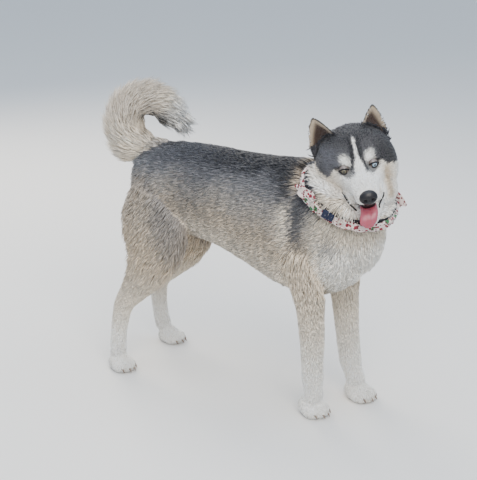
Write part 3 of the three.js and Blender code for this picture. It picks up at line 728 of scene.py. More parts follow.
def paw_ways(heading):
    """The ways ahead and across for a heading in degrees."""
    a = np.radians(heading)
    return np.array([np.cos(a), np.sin(a), 0]), np.array([-np.sin(a), np.cos(a), 0])


def paw_parts(paw, depth):
    """The pad and the four toes of a paw as closed balls, below hair of a depth."""
    (cx, cy), heading, length, width, height = paw
    ahead, across = paw_ways(heading)
    axes = [ahead, across, (0, 0, 1)]

    def at(f, l, z):
        return np.array([cx, cy, z]) + ahead * f + across * l

    pad = (length * 0.34 - depth, width * 0.46 - depth, height * 0.62 - depth)
    parts = [ball(at(-length * 0.14, 0, height * 0.48), axes, pad)]
    for slot, reach, tall in TOES:
        toe = at(length * reach * 0.72, slot * width * 0.235, height * 0.36 * tall)
        radii = (length * 0.25 - depth, width * 0.155 - depth * 0.7, height * 0.47 * tall - depth)
        parts.append(ball(toe, axes, radii))
    return parts


def ear_ends(side):
    """The middle of an ear's base and its tip, with side 1 for the left ear and -1 for the right."""
    return in_head(-50.0, side * 55.0 - 4.8, 34.0), in_head(-55.0, side * 69.0 - 8.0, 112.0)


def ear_parts(side):
    """An ear: a curled sheet with a back and a front wall, closed round its edge."""
    base, tip = ear_ends(side)
    spine = tip - base
    up = unit(spine)
    face = unit(np.array([0.9, side * 0.42, 0.05]) @ HEAD)
    across = unit(np.cross(up, face)) * side
    front = unit(np.cross(across, up)) * side
    rise = cross = EAR_STEPS
    depth, thickness = 1.2, 4.5
    walls = []
    for thick in (depth, thickness - depth):
        grid = np.zeros((rise + 1, cross + 1, 3))
        for i in range(rise + 1):
            t = i / rise
            tapered = 1 - (1 - t**2.3) ** 0.8
            fullness = 0.93 + 0.07 * np.sin(np.pi * min(t * 1.4, 1))
            wide = (41 * (1 - tapered) + 5 * tapered) * fullness - depth
            curl = 1.5 - 0.75 * t
            radius = wide / np.sin(min(curl, np.pi / 2))
            s = np.linspace(-1, 1, cross + 1)
            thin = np.minimum(thick * np.minimum(1, 0.35 + 3 * (1 - np.abs(s))), 0.4 * radius)
            ang = s * curl
            grid[i] = (
                base + spine * (t * (1 - 0.04 * s * s) - 0.22 * (1 - t))[:, None]
                + across * ((radius - thin) * np.sin(ang))[:, None]
                + front * (-(radius - thin) * np.cos(ang) + radius * np.cos(curl) - 6 * t)[:, None]
            )
        walls.append(grid)
    row = cross + 1
    size = row * (rise + 1)
    faces = []
    for i in range(rise):
        for j in range(cross):
            a = i * row + j
            faces.append([a, a + 1, a + row + 1, a + row])
            faces.append([size + a, size + a + row, size + a + row + 1, size + a + 1])
    for j in range(cross):
        faces.append([j + 1, j, size + j, size + j + 1])
        top = rise * row + j
        faces.append([top, top + 1, size + top + 1, size + top])
    for i in range(rise):
        a = i * row
        faces.append([a, a + row, size + a + row, size + a])
        b = a + cross
        faces.append([b + row, b, size + b, size + b + row])
    return np.vstack([wall.reshape(-1, 3) for wall in walls]), faces


def body_parts():
    """The closed bodies below the coat, each inside the solids by about the depth of its hair."""
    r = region_rings()
    parts = [
        tube(r["torso"].shrunk(SKIN_DEPTH["torso"]), 48, 2.2, (0.3, 0.3)),
        tube(r["neck"].shrunk(SKIN_DEPTH["neck"]), 40, 2, (0.3, 0.3)),
        tube(r["tail"].shrunk(SKIN_DEPTH["tail"]), 32, 2, (0.3, 0.4)),
        ball(STRAP_AT, strap_frame(), (36, 102.5, 102.5)),
    ]
    for name in LEGS:
        rings = r[name]
        foot, more, full = (2.2, 5.5, 340) if name.startswith("fore") else (2.4, 7.5, 320)
        depth = foot + more * ramp(rings.centre[:, 2], 200, full)
        parts.append(tube(rings.shrunk(depth), 32, 2, (0.2, 0.4)))
        parts += paw_parts(PAWS[name], 0.8)
    return parts


def head_parts():
    """Skull, jaw, cheeks, the pads beside the nose and the ears, below their short hair."""
    skull = head_rings(SKULL, 4)
    f = (skull.centre - EYES_AT) @ HEAD_F
    skull = skull.shrunk(1.3 + 4.5 * ramp(-f, 10, 80))
    jaw = head_rings(JAW, 4).shrunk(1.2)
    parts = [tube(skull, 64, 2.1, (0.3, 0.25)), tube(jaw, 40, 2.2, (0.3, 0.35))]
    for side in (-1, 1):
        parts.append(ball(in_head(2.0, side * 30.0, -60.0), HEAD, (41, 20.5, 27.5)))
        parts.append(ball(in_head(-26.0, side * 44.0, -74.0), HEAD, (44, 34, 38)))
        parts.append(ball(in_head(74.0, side * 12.0, -40.0), HEAD, (20, 13, 12)))
        parts.append(ear_parts(side))
    return parts


def carve_face(points):
    """Sets the eyes' sockets and a furrow between the brows into the head's skin, and raises the lids."""
    f, l, u = to_head(points).T
    side = np.abs(l)
    near = (f > -30) & (u > -60)
    socket = bell((side - EYE_OUT) / 15, u / 9.5) * near
    f = f - 5.5 * socket
    lid_up = bell((side - EYE_OUT) / 14, (u - 9.5) / 3.2) * near
    lid_low = bell((side - EYE_OUT) / 13, (u + 8.5) / 3.0) * near
    f = f + 2.4 * lid_up + 1.6 * lid_low
    furrow = bell(l / 5) * ramp(u, 8, 20) * near
    return EYES_AT + np.stack([f - 2.2 * furrow, l, u], 1) @ HEAD


SKIN_NODES = (
    "torso", "head", "neck", "ear_right", "ear_left", "foreleg_right", "foreleg_left",
    "hindleg_right", "hindleg_left", "tail_base", "tail_tip",
)


class OBJECT_OT_husky_skin(bpy.types.Operator):
    """Builds one skin for head, body, legs, tail and ears"""

    bl_idname = "mesh.husky_skin"
    bl_label = "Husky skin"

    def execute(self, context):
        body = remeshed("body", body_parts(), BODY_VOXEL, BODY_PASSES)
        head = remeshed("head", head_parts(), HEAD_VOXEL, HEAD_PASSES)
        head_points, head_faces = mesh_lists(head)
        verts, faces = joined([mesh_lists(body), (carve_face(head_points), head_faces)])
        verts[:, 2] = np.maximum(verts[:, 2], SOLE_GAP)
        bpy.data.meshes.remove(body)
        bpy.data.meshes.remove(head)
        skin = make_mesh("skin", verts, faces)
        bpy.context.view_layer.objects.active = skin
        skin.select_set(True)
        skin.data.uv_layers.new(name="OFBake")
        bpy.ops.object.mode_set(mode="EDIT")
        bpy.ops.mesh.select_all(action="SELECT")
        bpy.ops.uv.smart_project(angle_limit=1.2, island_margin=0.002)
        bpy.ops.object.mode_set(mode="OBJECT")
        skin.select_set(False)
        points = points_of(skin.data)
        which, share = nearest_region(points, region_rings())
        colour = markings(points, which, share)
        colour = ear_colour(points, colour, ear_share(points), normals_of(skin.data))
        # the skin below the hair: matt, and darker than the hair over it by painted shade
        set_colours(skin.data, colour * SHADE_UNDER_HAIR)
        mat = material("husky_skin", 0.85, sheen=0.15, bump=(900.0, 0.0012), spec=0.2)
        finish_piece(skin, mat, SKIN_NODES)
        return {"FINISHED"}


def mesh_lists(mesh):
    """Points in the dog's frame and faces of a mesh."""
    loops = fetched(mesh.loops, "vertex_index", kind=int)
    starts = fetched(mesh.polygons, "loop_start", kind=int)
    return points_of(mesh), [part.tolist() for part in np.split(loops, starts[1:])]


def ear_share(points):
    """How far up an ear a point lies, from 0 at the base to 1 at the tip, and 0 off the ears."""
    total = np.zeros(len(points))
    rows = refine(SKULL, 3)
    f, l, u = to_head(points).T
    top, bottom, wide = (np.interp(f, rows[:, 0], rows[:, k]) for k in (1, 2, 3))
    skull = np.hypot(l / wide, (u - (top + bottom) / 2) / ((top - bottom) / 2))
    # the ears lie about a middle some 4 mm to the dog's right of the head's own
    off_skull = (u > 40) & (np.abs(l + 4) > 22) & (f > -95) & (skull > 1.07)
    for side in (-1, 1):
        base, tip = ear_ends(side)
        t = ((points - base) @ (tip - base)) / ((tip - base) @ (tip - base))
        total = np.where(off_skull & (np.sign(l + 4) == side) & (t > 0.12), np.clip(t, 0, 1), total)
    return total


def ear_colour(points, colour, ear, normals):
    """Dark backs and black rims, and inside a sand band round a brown middle of painted shade in the ear's
    hollow.
    """
    c = colour.copy()
    at = ear > 0
    inside = np.clip(normals[at] @ HEAD_F * 2.0 - 0.1, 0, 1)
    off = edge_distance(points[at])
    ears = blend(c[at], "dark", 0.95 * np.ones(at.sum()))
    ears = blend(ears, "sand", 0.9 * inside)
    # painted shade: away from the edge the inside turns brown, for the shade deep in the ear's hollow
    ears = blend(ears, "brown", 0.95 * inside * ramp(off, 8, 21))
    c[at] = blend(ears, "black", 0.93 * (1 - ramp(off, 2.5, 5.5)))
    return c


def edge_distance(points):
    """How far each point lies from the free edge of the nearer ear, in millimetres."""
    found = np.full(len(points), 1e3)
    row = EAR_STEPS + 1
    for side in (-1, 1):
        grid = ear_parts(side)[0][: row * row].reshape(row, row, 3)
        edge = np.vstack([grid[5:, 0], grid[5:, -1], grid[-1]])
        for spot in edge:
            found = np.minimum(found, np.linalg.norm(points - spot, axis=1))
    return found


# Coat


def tufts(roots, normals, lies, size, colour, uv, seed):
    """Closed thin spikes bent down along the lie: a three-sided foot, a like ring half way and a tip."""
    rng = np.random.default_rng(seed)
    length, stand, width = size.T
    n = len(roots)
    turn = rng.normal(0, 0.14, n)[:, None]
    side = unit(np.cross(normals, lies))
    lie = unit(lies + side * turn)
    side = unit(np.cross(normals, lie))
    long = (length * rng.uniform(0.75, 1.2, n))[:, None]
    lift = (stand * rng.uniform(0.75, 1.25, n))[:, None]
    wide = (width * rng.uniform(0.8, 1.2, n))[:, None]
    # the foot sits in the skin, the middle stands off, and the tip bends down along the lie
    foot = roots - normals * 0.8
    mid = roots + lie * long * 0.45 + normals * long * lift * 0.62
    tip = roots + lie * long * 0.97 + normals * long * lift * 0.82
    flat = 0.42
    verts = np.empty((n, 7, 3))
    for k, (c, w) in enumerate(((foot, 0.5), (mid, 0.42))):
        verts[:, 3 * k] = c + side * wide * w
        verts[:, 3 * k + 1] = c - side * wide * w
        verts[:, 3 * k + 2] = c + normals * wide * flat
    verts[:, 6] = tip
    pattern = np.array([
        (0, 1, 4), (0, 4, 3), (1, 2, 5), (1, 5, 4), (2, 0, 3),
        (2, 3, 5), (3, 4, 6), (4, 5, 6), (5, 3, 6), (0, 2, 1),
    ])
    faces = (pattern[None] + 7 * np.arange(n)[:, None, None]).reshape(-1, 3)
    shade = rng.normal(0, 0.1, n)[:, None]
    colours = np.empty((n, 7, 3))
    # painted shade and painted light: the foot, in the skin among the hairs, is darker and the tip lighter
    # than the middle; shade is each tuft's random tone
    colours[:, 0:3] = (colour * (0.9 + 0.5 * shade))[:, None]
    colours[:, 3:6] = (colour * (1.0 + shade))[:, None]
    colours[:, 6] = colour * (1.08 + 1.6 * shade)
    spot = np.array([
        (0, 0), (0.0015, 0), (0.0008, 0.001),
        (0, 0.0015), (0.0015, 0.0015), (0.0008, 0.002), (0.0008, 0.003),
    ])
    uvs = uv[:, None] + spot[None] - 0.0012
    return verts.reshape(-1, 3), faces, np.clip(colours, 0.002, 1).reshape(-1, 3), uvs.reshape(-1, 2)


def make_tufts(name, data, mat):
    """A coat piece from the arrays that tufts() makes."""
    verts, faces, colours, uvs = data
    mesh = bpy.data.meshes.new(name)
    mesh.vertices.add(len(verts))
    mesh.vertices.foreach_set("co", place(verts).ravel())
    mesh.loops.add(len(faces) * 3)
    mesh.loops.foreach_set("vertex_index", faces.ravel())
    mesh.polygons.add(len(faces))
    mesh.polygons.foreach_set("loop_start", np.arange(len(faces)) * 3)
    mesh.update(calc_edges=True)
    layer = mesh.uv_layers.new(name="OFBake")
    layer.data.foreach_set("uv", np.clip(uvs[faces.ravel()], 0, 1).ravel())
    set_colours(mesh, colours)
    mesh.shade_smooth()
    made = bpy.data.objects.new(name, mesh)
    bpy.context.scene.collection.objects.link(made)
    finish_piece(made, mat)


def bare(points):
    """True where no hair grows: eyes, nose, lips, the mouth's inside, soles and where the strap lies."""
    h = to_head(points)
    f, l, u = h.T
    side = np.abs(l)
    eye = (np.hypot((side - EYE_OUT) / 1.3, u) < 11) & (f > -20)
    nose = np.linalg.norm((h - NOSE_AT) / (15, 19, 16), axis=1) < 1.1
    mouth = (side < 22) & (f > 0) & (f < 92) & (u > -92) & (u < -44)
    lips = np.zeros(len(points), bool)
    for spot in refine(MOUTH_LINE, 3)[:, :3]:
        lips |= np.linalg.norm(np.stack([f, side, u], 1) - spot, axis=1) < 4.8
    sole = points[:, 2] < 6
    from_strap = points - STRAP_AT
    height = from_strap @ STRAP_NORMAL
    reach = np.linalg.norm(from_strap - height[:, None] * STRAP_NORMAL, axis=1)
    strap = (np.abs(height) < 10) & (reach > 84) & (reach < 122)
    return eye | nose | mouth | lips | sole | strap


# How many times as many tufts a region has as its spacing gives
DENSITY = {
    "torso": 1.25, "neck": 1.5, "tail": 1.7, "head": 0.9, "jaw": 0.9,
    "fore_right": 0.55, "fore_left": 0.55, "hind_right": 0.75, "hind_left": 0.75,
}
# Each piece's regions, where in them it lies and its finish; a piece stays under 200,000 triangles
COAT_PIECES = {
    "coat_rump": (("torso",), lambda p: p[:, 0] < -90, "back_coat"),
    "coat_loin": (("torso",), lambda p: (p[:, 0] >= -90) & (p[:, 0] < 40), "back_coat"),
    "coat_ribs": (("torso",), lambda p: (p[:, 0] >= 40) & (p[:, 0] < 170), "back_coat"),
    "coat_chest": (("torso",), lambda p: p[:, 0] >= 170, "back_coat"),
    "coat_neck": (("neck",), None, "ruff_coat"),
    "coat_head_right": (("head", "jaw"), lambda p: (p - EYES_AT) @ HEAD_L < 0, "face_coat"),
    "coat_head_left": (("head", "jaw"), lambda p: (p - EYES_AT) @ HEAD_L >= 0, "face_coat"),
    "coat_foreleg_right": (("fore_right",), None, "leg_coat"),
    "coat_foreleg_left": (("fore_left",), None, "leg_coat"),
    "coat_hindleg_right": (("hind_right",), None, "leg_coat"),
    "coat_hindleg_left": (("hind_left",), None, "leg_coat"),
    "coat_tail": (("tail",), None, "tail_coat"),
}


class OBJECT_OT_husky_coat(bpy.types.Operator):
    """Roots tufts of hair on the skin, along the lie of the coat"""

    bl_idname = "mesh.husky_coat"
    bl_label = "Husky coat"

    def execute(self, context):
        """Scatters the roots evenly by area and builds one mesh for each piece of the coat."""
        settings = context.scene.husky_coat
        mesh = bpy.data.objects["skin"].data
        points, normals = points_of(mesh), normals_of(mesh)
        tri, loops = triangles_of(mesh)
        edges = fetched(mesh.edges, "vertices", 2, int)
        uv = fetched(mesh.uv_layers["OFBake"].data, "uv", 2)
        rings = region_rings()
        which, share = nearest_region(points, rings)
        ear = ear_share(points)
        lies = lie_of(points, normals, which, share, rings)
        size = coat_of(points, which)
        size[ear > 0] = EAR_HAIR
        for _ in range(COMB_PASSES):
            lies, size = spread(lies, edges), spread(size, edges)
        lies = unit(lies - normals * (lies * normals).sum(1, keepdims=True))
        a, b, c = (points[tri[:, k]] for k in range(3))
        area = np.linalg.norm(np.cross(b - a, c - a), axis=1) / 2
        density = 1 / (size[:, 2][tri].mean(1) * settings.spacing) ** 2
        density *= np.array([DENSITY[name] for name in REGIONS])[which[tri[:, 0]]]
        weight = np.cumsum(area * density * ~bare(points[tri].mean(1)))
        count = int(min(weight[-1], settings.most))
        rng = np.random.default_rng(settings.seed)
        chosen = np.searchsorted(weight, (np.arange(count) + rng.uniform(0, 1, count)) * weight[-1] / count)
        chosen = np.clip(chosen, 0, len(tri) - 1)
        a, b = rng.uniform(0, 1, (2, count))
        flip = a + b > 1
        a[flip], b[flip] = 1 - a[flip], 1 - b[flip]
        shares = np.stack([1 - a - b, a, b], 1)[..., None]

        def at_root(values, corners=tri[chosen]):
            return (values[corners] * shares).sum(1)

        roots, norm, lie = at_root(points), unit(at_root(normals)), unit(at_root(lies))
        size, uv = at_root(size), at_root(uv, loops[chosen])
        first = tri[chosen, 0]
        which, share, ear = which[first], share[first], ear[first]
        # each root takes its colour from a place a little off, so that the markings' edges are feathered
        on_head = np.isin(which, [REGIONS.index("head"), REGIONS.index("jaw")])
        feather = rng.normal(0, 1, (count, 3)) * np.where(on_head, 1.1, 6.0)[:, None]
        colour = ear_colour(roots, markings(roots + feather, which, share), ear, norm)
        size[:, 0] *= 1 + 0.1 * noise(roots, 22, 31)
        size[:, 1] *= 1 + 0.12 * noise(roots, 34, 32)
        # guard hair: a soft, low shine
        hair = material("husky_hair", 0.62, sheen=0.25, spec=0.3)
        for number, (name, (names, where, slot)) in enumerate(COAT_PIECES.items()):
            at = np.isin(which, [REGIONS.index(k) for k in names])
            if where:
                at &= where(roots)
            data = tufts(roots[at], norm[at], lie[at], size[at], colour[at], uv[at], 50 + number)
            data[0][:, 2] = np.maximum(data[0][:, 2], HAIR_GAP)
            make_tufts(name, data, hair)
        return {"FINISHED"}


def spread(values, edges):
    """Values averaged with those of the neighbours along the edges."""
    total = values.copy()
    count = np.ones(len(values))
    for a, b in ((0, 1), (1, 0)):
        for k in range(values.shape[1]):
            total[:, k] += np.bincount(edges[:, a], values[edges[:, b], k], len(values))
        count += np.bincount(edges[:, a], minlength=len(values))
    return total / count[:, None]


# Face


def eye_mesh(side, iris, rim):
    """An eyeball with pupil, iris and white as colours round its forward pole, and a low bulge there."""
    centre = in_head(0.0, side * EYE_OUT, 0.0)
    look = unit(np.array([1.0, side * 0.22, 0.02]) @ HEAD)
    left = unit(np.cross(HEAD_U, look))
    verts, faces = ball((0, 0, 0), np.eye(3), (1, 1, 1), 64, 64)
    angle = np.degrees(np.arccos(np.clip(verts[:, 0], -1, 1)))
    turn = np.arctan2(verts[:, 2], verts[:, 1])
    radius = 11.2 + 1.1 * np.exp(-((angle / 24) ** 4))
    streak = 0.5 + 0.5 * np.sin(turn * 23 + 2 * np.sin(turn * 7))
    colours = np.tile(srgb("#7d726c"), (len(verts), 1))
    iris_part = (1 - ramp(angle, 31, 34))[:, None]
    tone = srgb(iris) * (0.75 + 0.45 * streak)[:, None]
    tone = tone * (1 - 0.5 * ramp(angle, 23, 31))[:, None] + srgb(rim) * (0.5 * ramp(angle, 23, 31))[:, None]
    colours = colours * (1 - iris_part) + tone * iris_part
    edge = (ramp(angle, 29, 31) * (1 - ramp(angle, 34, 37)))[:, None]
    colours = colours * (1 - 0.9 * edge) + srgb("#14161a") * 0.9 * edge
    pupil = (1 - ramp(angle, 10, 12))[:, None]
    colours = colours * (1 - pupil) + srgb("#050507") * pupil
    points = centre + (verts * radius[:, None]) @ np.stack([look, left, HEAD_U])
    return points, faces, colours


class OBJECT_OT_husky_face(bpy.types.Operator):
    """Builds the eyes, their lids, the nose, the lips and the tongue"""

    bl_idname = "mesh.husky_face"
    bl_label = "Husky face"

    def execute(self, context):
        # wet eyes: a clear gloss over the colours
        wet = material("eye_wet", 0.25, coat=1.0, spec=0.6)
        # the right eye's iris is coloured a greyish brown, the left one's a pale blue
        irises = {"right": (-1, "#77705c", "#3a352c"), "left": (1, "#a3b6c4", "#22303c")}
        for name, (side, iris, rim) in irises.items():
            verts, faces, colours = eye_mesh(side, iris, rim)
            add_piece("eyeball_" + name, (verts, faces), wet, ["eye_" + name], colours)
        # bare black skin: smooth, with a dull shine
        dark = material("dark_rim_skin", 0.35, srgb("#17161a"), spec=0.5)
        add_piece("eye_rims", joined(self.lids()), dark)
        self.nose()
        add_piece("lips", joined(self.lips()), dark)
        self.mouth()
        return {"FINISHED"}

    def lids(self):
        """The dark edges of the upper and lower lids, as thin bent tubes."""
        parts = []
        t = np.linspace(-1, 1, 21)
        for side in (-1, 1):
            for height in (6.0, -5.4):
                rise = height * (1 - t**2) + 1.6 * t
                bulge = 10.2 - 6.0 * t**2
                path = in_head(bulge + 0.4, side * (EYE_OUT + 12.6 * t), rise)
                radius = 1.8 - 0.7 * t**2
                rows = np.column_stack([path, radius, radius, radius])
                parts.append(tube(swept(rows, 1, HEAD_F), 10, 2, (0.5, 0.5)))
        return parts

    def nose(self):
        """A rounded pad, pulled in round two comma-shaped nostrils and a middle groove."""
        verts, faces = ball((0, 0, 0), np.eye(3), (1, 1, 1), 72, 56)
        local = verts * (13, 19.8, 17)
        f, l, u = local.T
        side = np.abs(l)
        hole = bell((side - 7.6) / 3.3, (u + 1.5) / 2.8) * (f > 0)
        slit = bell((side - 12.5) / 3.6, (u + 4.5) / 1.5) * (f > 0)
        groove = bell(l / 0.9) * ramp(-u, -3, 3) * (f > 0)
        local[:, 0] = f - 6.5 * hole - 4.0 * slit - 1.4 * groove
        local[:, 1] = l * (1 - 0.16 * ramp(-u, 2, 13))
        # nose leather: black and finely pebbled, a little wet
        mat = material("nose_leather_wet", 0.38, srgb("#1f1d21"), coat=0.25, bump=(1500.0, 0.0006), spec=0.5)
        add_piece("nose_pad", (in_head(*(local + NOSE_AT).T), faces), mat, ["nose"])

    def lips(self):
        """A dark lip on the skin at each side: the whole line on the right, its lower end on the left."""
        skin = bpy.data.objects["skin"]
        parts = []
        for side, stations, share in ((-1, MOUTH_LINE, 1.0), (1, MOUTH_LINE[2:], 0.7)):
            line = refine(stations, 4)
            path = []
            for f, l, u, _ in line:
                start = place(in_head(f, side * l, u))
                hit, at, _, _ = skin.closest_point_on_mesh(Vector(start))
                spot = (np.array(at if hit else start) - SHIFT) * 1000
                path.append(spot + unit(np.array([0.3, side * 0.9, -0.3]) @ HEAD) * 1.8)
            thick = line[:, 3] * share
            rows = np.column_stack([path, thick, thick, thick])
            parts.append(tube(swept(rows, 1, HEAD_U), 10, 2, (0.5, 0.5)))
        return parts

    def mouth(self):
        """The inside of the mouth, its red skin dark with painted shade, and the tongue, which hangs out to
        the dog's right.
        """

        def in_middle(rows):
            """Stations on the head's middle plane from forward, up, half width and half thickness."""
            return np.array([(*in_head(f, 0.0, u), w, t, t) for f, u, w, t in rows])

        rows = in_middle([(0, -60, 30, 8), (30, -58, 24, 8), (60, -58, 19, 10), (74, -60, 14, 8)])
        # painted shade: the lining is the mouth's red skin darkened by the shade inside the mouth
        dark = material("mouth_skin_in_shade", 0.5, srgb("#2a1216"), spec=0.4)
        add_piece("mouth_lining", tube(swept(rows, 4, HEAD_U), 24, 2.2, (0.3, 0.3)), dark)
        rows = in_middle([
            (32, -60, 14, 3.2), (55, -63, 17, 3.6), (76, -69, 18.5, 3.8), (90, -79, 19.5, 3.6),
            (96, -91, 18, 3.2), (96, -101, 11, 2.6),
        ])
        verts, faces = tube(swept(rows, 8, HEAD_F * 0.6 + HEAD_U * 0.8), 48, 2.3, (0.2, 0.5))
        _, l, u = to_head(verts).T
        verts = verts - (unit(HEAD_F * 0.75 + HEAD_U * 0.4) * 1.5) * bell(l / 3.2)[:, None]
        aside, lifted = 9 * ramp(-u, 62, 92)[:, None], 3.5 * ramp(-u, 80, 104)[:, None]
        verts = verts - HEAD_L * aside + HEAD_U * lifted
        # the tongue: wet and pink, with light passing a little way in
        pink = srgb("#a85a67")
        mat = material("tongue_wet", 0.3, pink, coat=0.4, subsurface=0.3, bump=(1200.0, 0.0006), spec=0.5)
        add_piece("tongue_soft", (verts, faces), mat, ["tongue"])


class OBJECT_OT_husky_claws(bpy.types.Operator):
    """Builds the claws"""

    bl_idname = "mesh.husky_claws"
    bl_label = "Husky claws"

    def execute(self, context):
        parts = []
        for (cx, cy), heading, length, width, height in PAWS.values():
            ahead, across = paw_ways(heading)
            for slot, reach, _ in TOES:
                start = np.array([cx, cy, height * 0.34]) + ahead * length * (reach * 0.72 + 0.19)
                start = start + across * slot * width * 0.25
                line = [start, start + ahead * 5 - (0, 0, 3), start + ahead * 9 - (0, 0, 8.5)]
                rows = np.column_stack([line, [2.4, 2.0, 0.7], [2.6, 2.2, 0.7], [2.6, 2.2, 0.7]])
                parts.append(tube(swept(rows, 4, (1, 0, 0.5)), 10, 2, (0.5, 0.5)))
        # horn: greyish brown with a dull shine
        horn = material("claw_horn", 0.4, srgb("#8b7c70"), spec=0.5)
        add_piece("claws", joined(parts), horn)
        return {"FINISHED"}


# Worn pieces


def strap_frame():
    """The plane of the strap: its normal, the way to the front and the way to the side."""
    front = unit(np.array([1.0, 0, 0]) - STRAP_NORMAL * STRAP_NORMAL[0])
    return STRAP_NORMAL, front, np.cross(front, STRAP_NORMAL)


def band_mesh(rows, ripple, around=220):
    """A closed ring round the neck from a section's outward and upward offsets, which ripple moves."""
    normal, front, side = strap_frame()
    a = np.linspace(0, 2 * np.pi, around, endpoint=False)
    section = np.asarray(rows, float)
    out, up = ripple(a[:, None], section[None, :, 0], section[None, :, 1])
    way = front[None] * np.cos(a)[:, None] + side[None] * np.sin(a)[:, None]
    reach = STRAP_RADII[1] * np.abs(np.cos(a)) ** 2 + STRAP_RADII[0] * np.abs(np.sin(a)) ** 2
    verts = STRAP_AT + way[:, None] * (reach[:, None] + out)[..., None] + normal * up[..., None]
    return verts.reshape(-1, 3), ring_faces(around, len(section), closed=True)


def on_strap(degrees, out):
    """A place on the strap at an angle from its front, its outward way and the strap's normal."""
    normal, front, side = strap_frame()
    a = np.radians(degrees)
    way = front * np.cos(a) + side * np.sin(a)
    return STRAP_AT + way * (sum(STRAP_RADII) / 2 + out), way, normal


def cloth_material():
    """Off-white cotton, matt and finely woven, printed with small berries and leaves in an even scatter."""
    ground = srgb("#dcd0cb")
    made = material("printed_cotton", 0.85, ground, sheen=0.3, bump=(1400.0, 0.0004), spec=0.2)
    tree = made.node_tree
    where = add_node(tree, "ShaderNodeTexCoord").outputs["Object"]
    base = None
    # for each motif: cells in a metre, its share of a cell, its colour, and the share of cells left empty
    motifs = ((96.0, 0.4, "#94404a", 0.2), (60.0, 0.36, "#4c7d58", 0.62), (150.0, 0.36, "#74323c", 0.45))
    for scale, size, colour, empty in motifs:
        values = {"Scale": scale, "Randomness": 0.8}
        cells = add_node(tree, "ShaderNodeTexVoronoi", values, {"Vector": where})
        dot = add_node(
            tree, "ShaderNodeMath", {1: size}, {0: cells.outputs["Distance"]}, operation="LESS_THAN"
        )
        split = add_node(tree, "ShaderNodeSeparateColor", None, {"Color": cells.outputs["Color"]})
        some = add_node(tree, "ShaderNodeMath", {1: empty}, {0: split.outputs[0]}, operation="GREATER_THAN")
        links = {0: dot.outputs[0], 1: some.outputs[0]}
        both = add_node(tree, "ShaderNodeMath", None, links, operation="MULTIPLY")
        mix = add_node(tree, "ShaderNodeMix", None, {"Factor": both.outputs[0]}, data_type="RGBA")
        below, above = (socket for socket in mix.inputs if socket.type == "RGBA")
        if base is None:
            below.default_value = (*ground, 1)
        else:
            tree.links.new(base, below)
        above.default_value = (*srgb(colour), 1)
        base = next(socket for socket in mix.outputs if socket.type == "RGBA")
    tree.links.new(base, tree.nodes["Principled BSDF"].inputs["Base Color"])
    return made


class OBJECT_OT_husky_worn(bpy.types.Operator):
    """Builds the collar, its buckle and the tied cloth"""

    bl_idname = "mesh.husky_worn"
    bl_label = "Collar and neckerchief"

    def execute(self, context):
        section = [(0, -10), (3.2, -10), (3.2, 10), (0, 10)]
        strap = band_mesh(section, lambda a, out, up: (out + 0 * a, up + 0 * a))
        # nylon webbing: dull, with a fine weave
        webbing = material("nylon_webbing", 0.7, srgb("#2c2a30"), bump=(2200.0, 0.0006))
        add_piece("collar_strap", strap, webbing, ["collar"], smooth=False)
        self.cloth()
        self.buckle()
        return {"FINISHED"}

    def cloth(self):
        """A folded band with long creases round it, and two loose corners."""

        def ripple(a, out, up):
            wave = 1.8 * np.sin(9 * a + 0.12 * up) + 1.5 * np.sin(19 * a + 1 + 0.3 * up)
            wave = wave + 1.0 * np.sin(31 * a - 0.4 * up)
            crease = 1.9 * np.sin(up * 0.8 + 1.4 * np.sin(3 * a) + 1.1 * np.sin(8 * a))
            # the band is drawn together and down at the buckle, so that the buckle shows
            from_front = np.degrees((a + np.pi) % (2 * np.pi) - np.pi)
            gape = bell((from_front - 93) / 13)
            up = up * (0.86 + 0.1 * np.sin(4 * a + 1) - 0.4 * gape) - 4 - 4 * gape
            up = up + 1.5 * np.sin(5 * a) + 0.8 * np.sin(13 * a)
            return out + 0.5 * wave + crease * (out > 6) + 1.5, up

        inner, outer = 4.2, 8.2
        ups = np.linspace(-12, 12, 17)
        parts = [band_mesh([(inner, u) for u in ups[::-1]] + [(outer, u) for u in ups], ripple)]
        for degrees, length in ((118, 44), (-48, 40)):
            parts += self.corner(degrees, length)
        cloth = add_piece("neckerchief", joined(parts), cloth_material(), ["bandana"])

    def corner(self, degrees, length):
        """A loose corner of the cloth in two layers, which starts at an angle round the strap."""
        at, way, normal = on_strap(degrees, 5.5)
        run = unit(np.cross(way, normal))
        layers = []
        for lift, grow in ((7, 1.0), (-7, 0.8)):
            t = np.array([-10, 4, length * 0.5, length]) * grow
            off = np.maximum(t, 0)
            line = at + run * t[:, None] + way * (0.35 * off)[:, None]
            line = line + normal * (lift * off / length)[:, None]
            thick = [1.3, 1.5, 1.3, 0.9]
            rows = np.column_stack([line, np.array([13, 18, 14, 4.0]) * grow, thick, thick])
            verts, faces = tube(swept(rows, 8, way), 36, 2.4, (0.2, 0.2))
            along, across = (verts - at) @ run, (verts - at) @ normal
            wave = 1.8 * np.sin(along * 0.16 + across * 0.25) * ramp(along, 0, 20)
            layers.append((verts + way * wave[:, None], faces))
        return layers

    def buckle(self):
        """A side-release clasp: two moulded halves with their arms, edges rounded."""
        at, way, normal = on_strap(89, 8.4)
        run = unit(np.cross(normal, way))
        parts = []
        # along and up the strap, then length, height and depth
        for f, u, long, high, deep in (
            (-6.5, 0, 14, 20, 6), (7, 0, 13, 17, 5), (0, 7.6, 10, 3.4, 6.4), (0, -7.6, 10, 3.4, 6.4),
        ):
            centre = at + run * f + normal * u + way * 3.6
            rows = []
            for k in np.linspace(-0.5, 0.5, 7):
                edge = 1 - 0.12 * (2 * abs(k)) ** 8
                rows.append((*(centre + run * k * long), high / 2 * edge, deep / 2 * edge, deep / 2 * edge))
            parts.append(tube(swept(rows, 1, way), 32, 7, (0.04, 0.04)))
        # moulded plastic: dark blue, smooth, with a soft shine
        plastic = material("buckle_plastic", 0.35, srgb("#1a2440"), spec=0.5)
        add_piece("buckle", joined(parts), plastic, ["collar_buckle"])


# Stage


